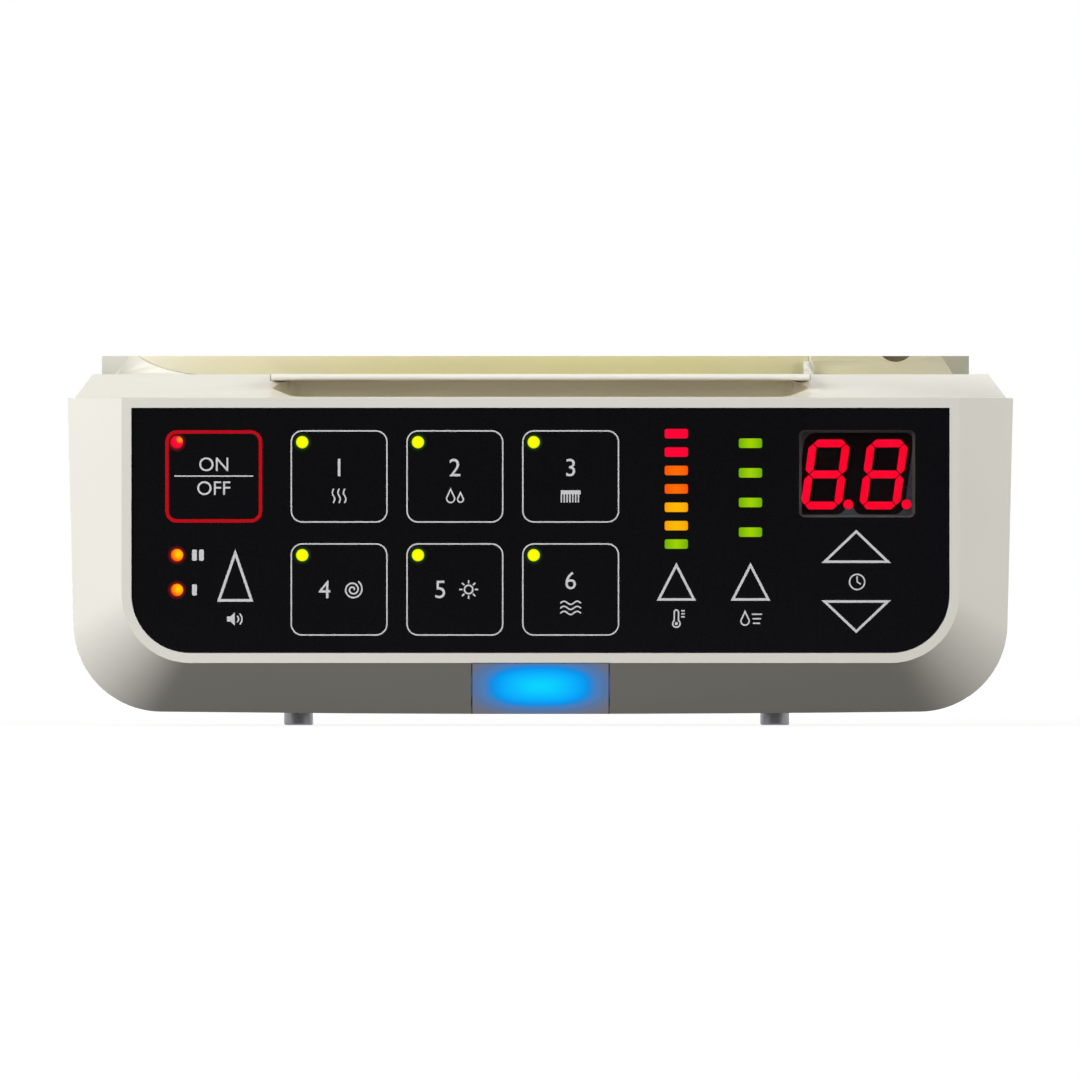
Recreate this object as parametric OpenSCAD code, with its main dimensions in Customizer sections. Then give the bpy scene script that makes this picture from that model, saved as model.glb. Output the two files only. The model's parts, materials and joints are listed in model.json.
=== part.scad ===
// Control unit of a salon hood dryer and mist processor.
// X runs to the right, Y runs from the front to the back and Z runs up.
// The origin is under the middle of the unit, level with the ends of the two studs.

/* [Overall] */
// How far the studs stand below the bezel
stud_reach = 2.5; // [1:0.5:6]
// Wall of the moulded shells
shell_wall = 2.5; // [2:0.1:3]

/* [Front bezel] */
// Width of the opening that the film lies in
panel_w = 178.8; // [176:0.2:190]
// Height of the opening that the film lies in
panel_h = 53.6; // [52:0.2:60]
// Radius of the lower corners of the opening
panel_corner_r = 12.8; // [8:0.2:16]
// Flat rim round the opening
rim_w = 2.15; // [1.6:0.05:3]
// How far the chamfers reach out at the sides
chamfer_side = 11.85; // [10:0.05:14]
// How far the chamfer drops below the rim
chamfer_drop = 11.2; // [10:0.1:14]
// Depth of the chamfers
chamfer_depth = 12; // [11:0.5:14]
// Straight skirt behind the chamfers
skirt_depth = 2; // [1:0.5:4]
// Radius of the lower outside corners
bezel_corner_r = 19.3; // [15:0.1:24]
// Inward lean of the sides, in degrees
side_lean = 1.4; // [0:0.1:2]
// Rise of the bottom edge towards its corners
bottom_crown = 0.5; // [0:0.1:1]
// Depth of the step between the bezel and the housing behind it
body_step = 1.6; // [1:0.1:2.5]

/* [Overlay film] */
// Thickness of the film
film_t = 0.5; // [0.3:0.05:0.8]
// How far the film lies below the rim
film_recess = 0.4; // [0.2:0.05:0.8]
// Gap round the film, and round the platform under it
film_gap = 0.15; // [0.1:0.05:0.3]

/* [Keys] */
// Width of the square keys
key_w = 20.9; // [18:0.1:21.6]
// Height of the square keys
key_h = 19.9; // [17:0.1:20.6]
// Corner radius of the square keys
key_r = 2.4; // [1.5:0.1:4]
// Distance between the columns of mode keys
key_pitch_x = 25.3; // [25.2:0.1:25.8]
// Distance between the two rows of keys
key_pitch_z = 24.7; // [24.4:0.1:25.4]
// Middle of the first column of mode keys
first_mode_x = -44; // [-45:0.1:-43.5]
// Middle of the start key
start_x = -71.4; // [-72:0.1:-70.8]
// Height of the upper row of keys above the lower edge of the film
upper_row = 38.6; // [38:0.1:39.5]
// Distance from the edges of a square key to the middle of its light
dot_inset = 2.4; // [2.2:0.05:3]
// Corner radius of the small keys
small_key_r = 1.5; // [0.8:0.1:2.5]
// Travel of a key
key_travel = 0.4; // [0.2:0.05:0.6]
// Gap round a key in its opening
key_gap = 0.25; // [0.15:0.05:0.4]
// Width of the flange that keeps a key in its opening
key_flange = 0.8; // [0.5:0.1:1]
// Diameter of a key's stem
stem_d = 4; // [3:0.1:5]

/* [Volume, temperature, mist and time keys] */
// Middle of the volume key
volume_x = -66.8; // [-67.5:0.1:-66]
// Width of the volume key
volume_key_w = 11; // [8:0.5:12]
// Height of the volume key
volume_key_h = 14; // [10:0.5:15]
// Height of the volume key above the lower edge of the film
volume_row = 14.6; // [14:0.1:15.2]
// Width of the temperature key and of the mist key
step_key_w = 11.4; // [9:0.2:12]
// Height of the temperature key and of the mist key
step_key_h = 11.4; // [9:0.2:12]
// Height of the temperature key and of the mist key above the lower edge of the film
step_row = 13; // [12.4:0.1:13.6]
// Width of the two time keys
time_key_w = 17.6; // [14:0.2:18]
// Height of the two time keys
time_key_h = 9.4; // [8:0.2:10]
// Height of the upper time key above the lower edge of the film
time_up_row = 23.2; // [22.6:0.1:23.8]
// Height of the lower time key above the lower edge of the film
time_down_row = 7.9; // [7.4:0.1:8.4]

/* [Lights] */
// Diameter of the round lights
dot_d = 2.7; // [2:0.1:3.5]
// Height of the lower volume light above the lower edge of the film
volume_light_row = 13.8; // [13:0.1:14.6]
// Distance between the two volume lights
volume_light_pitch = 7.6; // [6:0.1:9]
// Width of the bar lights
bar_w = 5.2; // [4:0.1:6]
// Height of the bar lights
bar_h = 2; // [1.5:0.1:2.4]
// Corner radius of the bar lights
bar_r = 0.35; // [0.1:0.05:0.6]
// Number of temperature bars
temperature_bars = 7; // [3:1:7]
// Distance between the temperature bars
temperature_pitch = 4.03; // [3.6:0.01:4.1]
// Column of the temperature bars
temperature_x = 29.7; // [29:0.1:30.5]
// Number of mist bars
mist_bars = 4; // [2:1:4]
// Distance between the mist bars
mist_pitch = 6.5; // [4:0.1:6.6]
// Column of the mist bars
mist_x = 45.9; // [45:0.1:46.5]
// Height of the lowest temperature bar above the lower edge of the film
temperature_row = 23.8; // [23:0.1:25]
// Height of the lowest mist bar above the lower edge of the film
mist_row = 26.4; // [25:0.1:27]

/* [Display] */
// Middle of the display
display_x = 69.2; // [68.5:0.1:70]
// Width of the two-digit display
display_w = 25.2; // [20:0.1:26]
// Height of the two-digit display
display_h = 19.2; // [16:0.1:20]
// Depth of the display
display_t = 8; // [6:0.1:9]
// Height of the middle of the display above the lower edge of the film
display_row = 39.2; // [38.8:0.1:39.8]
// Height of a digit
digit_h = 15.3; // [12:0.1:15.6]
// Width of a digit
digit_w = 8.6; // [7:0.1:9]
// Width of a digit's segments
segment_w = 1.8; // [1:0.1:2]
// Lean of the digits, in degrees
digit_lean = 7.7; // [0:0.1:10]
// Distance between the two digits
digit_pitch = 12.7; // [11:0.1:13]

/* [Boards] */
// Distance from the rim of the bezel to the main board
board_depth = 12.9; // [12.5:0.1:14]
// Thickness of the boards
board_t = 1.6; // [1:0.1:2]
// Body size of a tact switch
switch_w = 6; // [5:0.1:7]
// Height of a tact switch body
switch_t = 3.4; // [3:0.1:4]
// Diameter of a tact switch button
button_d = 3.5; // [3:0.1:4]

/* [Lamp] */
// Width of the lamp lens
lamp_w = 30; // [20:0.5:34]
// Thickness of the lamp lens
lamp_wall = 2.5; // [2:0.1:3]

/* [Deck and lid] */
// Height that the deck rises from the bezel to its back
deck_rise = 5.1; // [3:0.1:8]
// Depth of the sloping part of the deck
deck_slope = 22; // [18:1:26]
// How far the ends of the deck lean in
deck_lean = 3.6; // [2:0.1:5]
// Width of the lid
lid_w = 117.8; // [90:0.2:130]
// Thickness of the lid
lid_t = 1.4; // [1.5:0.1:2.5]
// Sideways place of the lid
lid_x = 0; // [-2:0.1:2]
// Distance from the rim of the bezel to the lip of the lid
lid_front = 20; // [19:0.5:22]
// Distance from the rim of the bezel to the hinge of the lid
hinge_depth = 50; // [49:0.5:60]
// Diameter of the hinge knuckles
knuckle_d = 6; // [5:0.1:7]
// Depth of the hinge pins below the top of the lid
hinge_drop = 4.2; // [4:0.1:5]
// Diameter of the hinge pins
pin_d = 2.4; // [2:0.1:3]
// Length of a hinge knuckle
knuckle_l = 9; // [6:0.5:12]
// Radius of the finger scoop
scoop_r = 9; // [7:0.5:10]
// Depth of the well under the lid
well_depth = 12; // [8:0.5:16]

/* [Hood seat] */
// Width of the raised seat at the back
seat_w = 190.6; // [180:0.2:194]
// Middle of the seat
seat_x = -1.1; // [-2:0.1:2]
// Height of the raised seat above the deck
seat_rise = 4.1; // [3:0.1:8]
// Distance from the hinge of the lid to the front of the seat
seat_gap = 6; // [5.5:0.5:10]
// Depth of the seat, from its front to the back of the rear cover
seat_length = 10; // [9:0.5:30]
// Thickness of the warm-toned liner in the seat
liner_t = 1.2; // [0.8:0.1:2]
// Radius of the wire notch
notch_r = 4.2; // [3:0.1:6]

/* [Studs] */
// Distance between the studs
stud_spacing = 104.4; // [90:0.1:120]
// Middle between the two studs
stud_x = -0.8; // [-2:0.1:2]
// Diameter of the polished end of a stud
stud_d = 6.5; // [5:0.1:8]
// Diameter of the threaded part of a stud
stud_thread_d = 6; // [4:0.1:6.2]
// Distance from the rim of the bezel to the studs
stud_depth = 35; // [30:0.5:44]

/* [Rear cover] */
// Thickness of the rear cover
cover_t = 3; // [2.5:0.1:4]
// Distance between the threaded inserts, sideways
insert_spacing_x = 100; // [80:5:120]
// Distance between the threaded inserts, upwards
insert_spacing_z = 30; // [25:1:35]
// Diameter of the threaded bore of an insert
insert_bore_d = 4; // [3:0.1:5]
// Diameter of the harness opening
harness_d = 14; // [10:0.5:16]

/* [Hidden] */
$fn = 48;
tiny = 0.01;
fit = 0.05;            // clearance of pieces that seat on each other
loose = 0.3;           // clearance round pieces that only pass through
arc_steps = 20;

seat_depth = hinge_depth + seat_gap;
unit_depth = seat_depth + seat_length;
front_y = -unit_depth / 2;
base_z = stud_reach;
panel_z0 = base_z + chamfer_drop + rim_w;
panel_z1 = panel_z0 + panel_h;
bezel_top = panel_z1 + rim_w;
bezel_depth = chamfer_depth + skirt_depth;
bezel_w = panel_w + 2 * rim_w + 2 * chamfer_side;
rim_edge = 0.2;
chamfer_len = sqrt(pow(chamfer_side, 2) + pow(chamfer_depth, 2));
wall_across = shell_wall * chamfer_len / chamfer_depth;   // wall measured straight across a side chamfer

seal_t = 0.5;
body_y0 = bezel_depth + seal_t;         // depths below count from the rim of the bezel
body_y1 = unit_depth - cover_t;
deck_z0 = bezel_top + 0.2;
deck_z1 = deck_z0 + deck_rise;
seat_z = deck_z1 + seat_rise;

film_back = film_recess + film_t;
platform_y0 = film_back;
front_lip_t = 2.7;                      // front wall of the bezel, that the carrier's flange lies behind
flange_y0 = front_lip_t;
plate_back = flange_y0 + 2;
pocket_grow = 2;
skirt_back = board_depth + 0.3;
skirt_t = 1.6;
fence_t = 2;
ear_zs = [30, 50];
ear_h = 8;
ear_t = 2;
ear_y1 = skirt_back;
ear_y0 = ear_y1 - ear_t;
ear_x = bezel_w / 2 - 8.2;
carrier_screw_l = 4.8;

board_back = board_depth + board_t;
switch_y0 = board_depth - fit - switch_t;
button_l = 1.8;
button_y0 = switch_y0 - button_l;
cap_y0 = film_back + 0.3;
cap_y1 = plate_back - fit;
cap_flange_t = 0.9;
display_y0 = board_depth - fit - display_t;
segment_gap = 0.12;
segment_depth = 0.25;
key_rib_t = 1;
window_flange = 0.4;
window_t = 1.2;
window_r = 1.2;

mode_xs = [for (i = [0:2]) first_mode_x + i * key_pitch_x];
row_upper = panel_z0 + upper_row;
row_lower = row_upper - key_pitch_z;
volume_z = panel_z0 + volume_row;
step_key_z = panel_z0 + step_row;
time_up_z = panel_z0 + time_up_row;
time_down_z = panel_z0 + time_down_row;
display_z = panel_z0 + display_row;
volume_light_zs = [for (i = [0, 1]) panel_z0 + volume_light_row + i * volume_light_pitch];
volume_light_x = start_x - key_w / 2 + dot_inset;

// Each key has its middle, its width, its height and its corner radius
start_place = [start_x, row_upper, key_w, key_h, key_r];
volume_place = [volume_x, volume_z, volume_key_w, volume_key_h, small_key_r];
temperature_place = [temperature_x, step_key_z, step_key_w, step_key_h, small_key_r];
mist_place = [mist_x, step_key_z, step_key_w, step_key_h, small_key_r];
time_up_place = [display_x, time_up_z, time_key_w, time_key_h, small_key_r];
time_down_place = [display_x, time_down_z, time_key_w, time_key_h, small_key_r];
function mode_place(n) = [mode_xs[(n - 1) % 3], n <= 3 ? row_upper : row_lower, key_w, key_h, key_r];
mode_places = [for (n = [1:6]) mode_place(n)];
lit_keys = concat([start_place], mode_places);
plain_keys = [volume_place, temperature_place, mist_place, time_up_place, time_down_place];
key_places = concat(lit_keys, plain_keys);

function dot_at(k) = [k[0] - k[2] / 2 + dot_inset, k[1] + k[3] / 2 - dot_inset];
temperature_zs = [for (i = [0:temperature_bars - 1]) panel_z0 + temperature_row + i * temperature_pitch];
mist_zs = [for (i = [0:mist_bars - 1]) panel_z0 + mist_row + i * mist_pitch];
volume_dots = [for (z = volume_light_zs) [volume_light_x, z]];
key_dots = [for (k = lit_keys) dot_at(k)];

buzzer_d = 12;
buzzer_h = 7.5;
chip_w = 14;
chip_leads = 11;
lead_pitch = 1.2;
lead_w = 0.4;
connector_pins = 8;
connector_l = 9;
pin_pitch = 2.5;
pin_w = 0.6;

row_mid = (row_upper + row_lower) / 2;
boss_places = [
    [start_x - key_w / 2 - 3.6, row_mid], [(start_x + mode_xs[0]) / 2, row_mid],
    [mode_xs[1] + key_pitch_x / 2, row_mid], [mode_xs[2] + key_w / 2 + 4, row_mid],
    [(mist_x + step_key_w / 2 + display_x - time_key_w / 2) / 2, panel_z0 + 18.4],
    [display_x + display_w / 2 + 3.7, display_z]
];
boss_d = 4.8;
screw_d = 2.6;
screw_gap = 0.35;
board_screw_l = 6;
pilot_d = screw_d + 0.04;               // threads are drawn as plain cylinders

corner_screws = [[bezel_w / 2 - 12, base_z + 12], [bezel_w / 2 - 7.2, bezel_top - 7.4]];
corner_boss_d = 6.8;
bezel_screw_l = 7;
bezel_ribs = [38, 62];                  // ribs below the panel, from the middle of the unit
rib_t = 1.6;
tab_y1 = body_y0 + shell_wall;
tab_reach = 5.5;

hinge_z = deck_z1 - hinge_drop;
scoop_y = lid_front + 3.2;
scoop_drop = 1.5;                       // axis of the scoop below the deck
scoop_taper = 4.7;                      // length of its tapered ends
trough_y0 = hinge_depth - knuckle_d / 2 - 0.5;
trough_z = hinge_z - knuckle_d / 2 - 0.5;
lid_back = hinge_depth + 1.5;
trough_y1 = hinge_depth + sqrt(pow(lid_back - hinge_depth, 2) + pow(hinge_drop, 2)) + loose;
inner_wall = 2;
well_w = lid_w - 8;
well_y0 = scoop_y + scoop_r + inner_wall + 0.6;
well_y1 = trough_y0 - inner_wall;
well_z = deck_z1 - well_depth;
lid_gap = 0.35;
lid_seat_z = deck_z1 - lid_t - fit;
lid_rib_t = 1.2;
lid_rib_h = 2.5;
lug_w = 2.6;                            // the housing's lugs on both sides of a knuckle
lug_r = hinge_drop - lid_t - 0.1;
knuckle_x0 = well_w / 2 - knuckle_l - lug_w - loose;
pin_x0 = knuckle_x0 - loose - lug_w;
pin_l = knuckle_l + 2 * lug_w + 2 * loose;

seat_corner_low = [2.9, 3];             // how far the corner is cut off at the foot, across and in depth
seat_corner_high = [6.1, 5];            // and at the top
post_w = 2.2;
post_x = lid_x + lid_w / 2 - post_w / 2;
post_h = 3;
post_t = 1.4;
liner_corner = [20.8, 13];              // half axes of the liner's round corner
liner_x0 = seat_x - seat_w / 2 + 23.2;  // where the corner meets the deck
liner_x1 = post_x + post_w / 2;
notch_x = seat_x + seat_w / 2 - 16.1;
notch_z = seat_z + 2.9;
notch_len = seat_length - cover_t - 1;

floor_z = base_z + body_step + shell_wall;
bracket_z = floor_z + bottom_crown + fit;
nut_af = 10;
nut_h = 5;
bracket_t = 2;
bracket_w = 18;
stud_chamfer = 0.3;

cover_screw_in = [9.2, 8.6];            // lower and upper screw from the side of the bezel
cover_screw_up = [16, deck_z0 - base_z - 9];
cover_screws = [for (i = [0, 1]) [bezel_w / 2 - cover_screw_in[i], base_z + cover_screw_up[i]]];
cover_screw_l = 9;
head_depth = 1.8;                       // how deep the screw heads lie in the rear cover
cover_boss_d = 7;
cover_boss_l = 18;
insert_z = (base_z + deck_z1) / 2;
insert_l = 8;
insert_d = 6.4;
insert_boss_d = 10;
harness_z = base_z + 20;
grommet_wall = 2;
vent_w = 1.8;
vent_h = 16;
vent_pitch = 5;
vents_per_side = 7;
first_vent_x = 14;

lamp_gap = 0.15;
led_pitch = 8;
lamp_lip = 0.1;                         // how far the lens stays below the rim
lamp_room = 2.3;                        // free space beside the lamp
lamp_board_y = bezel_depth - 1.2;
lamp_top = base_z + chamfer_drop - lamp_lip;

// ---------- shared shapes ----------

function arc(c, r, a0, a1, n = arc_steps) =
    [for (i = [0:n]) let (a = a0 + (a1 - a0) * i / n) [c[0] + r * cos(a), c[1] + r * sin(a)]];

// Outline of the opening, grown by a margin at the sides and below and by another one above
function panel_outline(grow, grow_top) =
    let (
        x = panel_w / 2 + grow,
        z0 = panel_z0 - grow,
        z1 = panel_z1 + grow_top,
        r = panel_corner_r + grow
    )
    concat([[x, z1], [-x, z1]], arc([r - x, z0 + r], r, 180, 270), arc([x - r, z0 + r], r, 270, 360));

// Outer outline of the unit, drawn in by a margin; the top edge is at its own height
function unit_outline(inset, top_z) =
    let (
        x = bezel_w / 2 - inset,
        r = bezel_corner_r - inset,
        cz = base_z + inset + r + bottom_crown,
        cx = x - (r + sin(side_lean) * (bezel_top - cz)) / cos(side_lean),
        xt = x + tan(side_lean) * (top_z - bezel_top),
        n = 8
    )
    concat(
        [[xt, top_z], [-xt, top_z]],
        arc([-cx, cz], r, 180 + side_lean, 270),
        [for (i = [1:n - 1]) let (u = 2 * i / n - 1) [u * cx, cz - r - bottom_crown * (1 - u * u)]],
        arc([cx, cz], r, 270, 360 - side_lean)
    );

// Front view extruded between two depths
module along_y(y0, y1) {
    translate([0, front_y + y1, 0]) rotate([90, 0, 0]) linear_extrude(y1 - y0) children();
}

// Side view, with depth and height as its axes, extruded across the unit
module along_x(w, x = 0) {
    translate([x - w / 2, front_y, 0]) rotate([90, 0, 90]) linear_extrude(w) children();
}

module bar_y(at, d, y0, y1) {
    translate([at[0], front_y + y0, at[1]]) rotate([-90, 0, 0]) cylinder(d = d, h = y1 - y0);
}

module box_at(x0, x1, y0, y1, z0, z1) {
    translate([x0, front_y + y0, z0]) cube([x1 - x0, y1 - y0, z1 - z0]);
}

// Box between two distances from the middle of the unit, on one side of it
module side_box(s, x0, x1, y0, y1, z0, z1) {
    box_at(min(s * x0, s * x1), max(s * x0, s * x1), y0, y1, z0, z1);
}

module rounded_rect(at, w, h, r) {
    translate(at) {
        square([w - 2 * r, h], center = true);
        square([w, h - 2 * r], center = true);
        for (sx = [-1, 1], sz = [-1, 1]) translate([sx * (w / 2 - r), sz * (h / 2 - r)]) circle(r);
    }
}

module key_shape(k, grow) {
    rounded_rect([k[0], k[1]], k[2] + 2 * grow, k[3] + 2 * grow, k[4] + grow);
}

module bar_shape(x, z, grow) {
    rounded_rect([x, z], bar_w + 2 * grow, bar_h + 2 * grow, bar_r + grow);
}

module bar_shapes(grow) {
    for (z = temperature_zs) bar_shape(temperature_x, z, grow);
    for (z = mist_zs) bar_shape(mist_x, z, grow);
}

module dot_shapes(places, grow) {
    for (p = places) translate(p) circle(d = dot_d + 2 * grow);
}

// Pan-head screw whose head seats at y and whose shank runs forwards
module pan_screw(at, y, shank) {
    head_h = 0.6 * screw_d;
    bar_y(at, screw_d, y - shank, y + tiny);
    difference() {
        bar_y(at, 2 * screw_d, y, y + head_h);
        for (a = [0, 90]) translate([at[0], front_y + y + head_h, at[1]]) rotate([0, a, 0])
            cube([screw_d, screw_d / 2, 0.28 * screw_d], center = true);
    }
}

// ---------- front bezel ----------

module chamfered_block() {
    hull() {
        along_y(0, rim_edge) polygon(panel_outline(rim_w, rim_w));
        along_y(chamfer_depth, bezel_depth) polygon(unit_outline(0, bezel_top));
    }
}

// Hollow behind the chamfers, one wall in from the outside
module chamfer_hollow() {
    start = front_lip_t + 0.3;
    inset = wall_across - chamfer_side * start / chamfer_depth;
    hull() {
        along_y(start, start + tiny) polygon(panel_outline(rim_w - inset, 0));
        along_y(chamfer_depth, bezel_depth + 1) polygon(unit_outline(wall_across, panel_z1));
    }
}

// Wall round the pocket of the key carrier, left out above the lamp
module chamfer_fence() {
    room = lamp_w / 2 + lamp_room;
    difference() {
        along_y(0, bezel_depth) difference() {
            polygon(panel_outline(pocket_grow + film_gap + fence_t, rim_w));
            polygon(panel_outline(pocket_grow + film_gap, 0));
        }
        box_at(-room, room, -1, bezel_depth + 1, 0, panel_z0);
    }
}

// Side view of the lens: it follows the chamfer and ends flush with the bottom
function lamp_profile() = [
    [rim_edge + lamp_lip * chamfer_depth / chamfer_drop, lamp_top],
    [chamfer_depth, base_z],
    [bezel_depth - 0.4, base_z],
    [bezel_depth - 0.4, base_z + lamp_wall],
    [chamfer_depth + 0.6, base_z + lamp_wall],
    [lamp_wall + 1, lamp_top]
];

module front_bezel() {
    color("#ecebe5") difference() {
        chamfered_block();
        difference() {
            chamfer_hollow();
            chamfer_fence();
            for (s = [-1, 1]) {
                for (z = ear_zs) bar_y([s * ear_x, z], corner_boss_d, 0, ear_y0 - fit);
                for (p = corner_screws) bar_y([s * p[0], p[1]], corner_boss_d, 0, bezel_depth);
                for (x = bezel_ribs)
                    side_box(s, x - rib_t / 2, x + rib_t / 2, 0, bezel_depth - 2, 0, panel_z0 - 3);
            }
        }
        along_y(-1, flange_y0 + 1) polygon(panel_outline(0, 0));
        along_y(flange_y0 - fit, bezel_depth + 1) polygon(panel_outline(pocket_grow + film_gap, 0));
        for (s = [-1, 1]) {
            for (z = ear_zs) {
                bar_y([s * ear_x, z], pilot_d, ear_y1 - carrier_screw_l - 1, bezel_depth + 1);
                side_box(s, ear_x - 9, ear_x, ear_y0 - fit, bezel_depth + 1,
                    z - ear_h / 2 - loose, z + ear_h / 2 + loose);
            }
            for (p = corner_screws)
                bar_y([s * p[0], p[1]], pilot_d, tab_y1 - bezel_screw_l - 1, bezel_depth + 1);
        }
        along_x(lamp_w + 2 * lamp_gap) lamp_slot_profile();
    }
}

// Side view of the slot, a little larger than the lens all round
module lamp_slot_profile() {
    polygon([
        [-1, lamp_top + lamp_lip + chamfer_drop / chamfer_depth],
        [-1, base_z - 1],
        [bezel_depth + 1, base_z - 1],
        [bezel_depth + 1, base_z + 2 * lamp_wall + 1],
        [bezel_depth - 2, base_z + 2 * lamp_wall + 1],
        [lamp_wall + 1.4, lamp_top + lamp_lip],
        [fit, lamp_top + lamp_lip]
    ]);
}

// ---------- overlay, window and key carrier ----------

module display_shape(grow, r) {
    rounded_rect([display_x, display_z], display_w + 2 * grow, display_h + 2 * grow, r);
}

module overlay_film() {
    color("#141318") along_y(film_recess, film_back) difference() {
        polygon(panel_outline(-film_gap, -film_gap));
        bar_shapes(0.1);
        dot_shapes(concat(key_dots, volume_dots), 0.1);
        display_shape(0.1, window_r + 0.1);
    }
}

module display_window() {
    color([0.13, 0.13, 0.14, 0.85]) {
        along_y(film_recess, film_back + window_t - tiny) display_shape(0, window_r);
        along_y(film_back + fit / 2, film_back + window_t) display_shape(window_flange, window_r);
    }
}

module key_carrier() {
    color("#dcdad4") difference() {
        union() {
            along_y(platform_y0, plate_back) polygon(panel_outline(-film_gap, -film_gap));
            along_y(flange_y0, plate_back) polygon(panel_outline(pocket_grow, -film_gap));
            along_y(plate_back - tiny, skirt_back) difference() {
                polygon(panel_outline(pocket_grow, -film_gap));
                polygon(panel_outline(pocket_grow - skirt_t, -film_gap - skirt_t));
            }
            for (p = boss_places) bar_y(p, boss_d, plate_back - tiny, board_depth - fit);
            for (s = [-1, 1], z = ear_zs)
                side_box(s, ear_x - 5, ear_x + 2.2, ear_y0, ear_y1, z - ear_h / 2, z + ear_h / 2);
        }
        for (k = key_places) along_y(0, board_depth) key_shape(k, key_gap);
        for (k = key_places) along_y(cap_y1 - cap_flange_t, board_depth) key_shape(k, key_flange + key_gap);
        along_y(0, plate_back + 1) bar_shapes(0.25);
        along_y(0, plate_back + 1) dot_shapes(concat(key_dots, volume_dots), 0.25);
        along_y(0, film_back + window_t + fit) display_shape(window_flange + 0.15, window_r + 0.15);
        along_y(0, plate_back + 1) display_shape(-0.5, window_r - 0.5);
        along_y(display_y0 - window_flange, plate_back + 1) display_shape(0.2, window_r - 0.5);
        for (p = boss_places) bar_y(p, pilot_d, board_depth - board_screw_l - 1, board_depth + 1);
        for (s = [-1, 1], z = ear_zs) bar_y([s * ear_x, z], screw_d + screw_gap, ear_y0 - 1, ear_y1 + 1);
    }
}

// ---------- keys and their switches ----------

module key(k, lit) {
    rib_l = (button_y0 - cap_y1) * 0.6;
    color(k == start_place ? "#2a1216" : "#26262a") difference() {
        union() {
            along_y(cap_y0, cap_y1 - cap_flange_t + key_travel) key_shape(k, 0);
            along_y(cap_y1 - cap_flange_t + 2 * fit, cap_y1 + 0.6) key_shape(k, key_flange);
            bar_y([k[0], k[1]], stem_d, cap_y1, button_y0 - fit);
            // crossed ribs behind the cap
            for (a = [0, 90]) translate([k[0], front_y + cap_y1 + rib_l / 2, k[1]]) rotate([0, a, 0])
                cube([min(k[2], k[3]) - key_rib_t, rib_l, key_rib_t], center = true);
        }
        if (lit) bar_y(dot_at(k), dot_d + 1.3, 0, board_depth);
    }
}

module switch_button(k) {
    color("#1c1c1e") {
        bar_y([k[0], k[1]], button_d, button_y0, switch_y0 + 1);
    }
}

module switch_bodies() {
    for (k = key_places) {
        color("#3a3a3e") difference() {
            along_y(switch_y0, board_depth - fit) rounded_rect([k[0], k[1]], switch_w, switch_w, 0.6);
            bar_y([k[0], k[1]], button_d + 0.16, switch_y0 - 1, switch_y0 + 1.1 + key_travel + 0.2);
        }
    }
}

// ---------- boards and lights ----------

module main_board() {
    color("#1f6b45") difference() {
        along_y(board_depth, board_back) polygon(panel_outline(-1.2, -2.6));
        for (p = boss_places) bar_y(p, screw_d + screw_gap, 0, unit_depth);
    }
}

// Two digits, each of seven slanted segments, and a point at the foot of each
module digit_segments(at) {
    b = segment_w / 2;
    x = digit_w / 2 - b;
    z = digit_h / 2 - b;
    // a segment of a given length, pointed at both ends, lying along x before it is turned
    module segment(middle, length, upright) {
        e = length / 2 - segment_gap;
        p = [[-e, 0], [b - e, b], [e - b, b], [e, 0], [e - b, -b], [b - e, -b]];
        turned = [for (q = p) upright ? [-q[1], q[0]] : q];
        polygon([for (q = turned) [
            at[0] + middle[0] + q[0] + (middle[1] + q[1]) * tan(digit_lean),
            at[1] + middle[1] + q[1]
        ]]);
    }
    for (level = [-z, 0, z]) segment([0, level], 2 * x, false);
    for (s = [-1, 1], level = [-z / 2, z / 2]) segment([s * x, level], z, true);
    translate([at[0] + digit_w / 2 + 0.4, at[1] - z - 0.1]) circle(d = segment_w + 0.3);
}

module both_digits() {
    for (s = [-1, 1]) digit_segments([display_x + s * digit_pitch / 2 - 0.7, display_z]);
}

module display_module() {
    color("#232326") difference() {
        along_y(display_y0, board_depth - fit) display_shape(0, window_r / 2);
        along_y(display_y0 - 1, display_y0 + segment_depth) both_digits();
    }
    color("#ff0028") along_y(display_y0 + fit, display_y0 + segment_depth + tiny) both_digits();
}

module round_light(at) {
    bar_y(at, dot_d, film_recess, board_depth - 1.4);
    bar_y(at, dot_d + 1, board_depth - 1.4 - tiny, board_depth - fit);
}

module bar_light(x, z) {
    along_y(film_recess, plate_back + 0.6) bar_shape(x, z, 0);
    along_y(plate_back + 0.6 - tiny, board_depth - fit) bar_shape(x, z, 0.35);
}

module start_light() {
    color("#ff3020") round_light(key_dots[0]);
}

module mode_lights() {
    color("#e6f500") for (i = [1:6]) round_light(key_dots[i]);
}

module volume_lights() {
    color("#ff9a00") for (p = volume_dots) round_light(p);
}

module temperature_lights() {
    for (i = [0:temperature_bars - 1])
        color(i == 0 ? "#8cd400" : i < 3 ? "#ffb400" : i < 5 ? "#ff6400" : "#ff0033")
            bar_light(temperature_x, temperature_zs[i]);
}

module mist_lights() {
    color("#8cd400") for (z = mist_zs) bar_light(mist_x, z);
}

module buzzer() {
    at = [volume_x - 2, row_lower - 1];
    color("#1a1a1c") difference() {
        bar_y(at, buzzer_d, board_back + fit, board_back + buzzer_h);
        bar_y(at, 2.2, board_back + buzzer_h - 1, board_back + buzzer_h + 1);
    }
}

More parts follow.
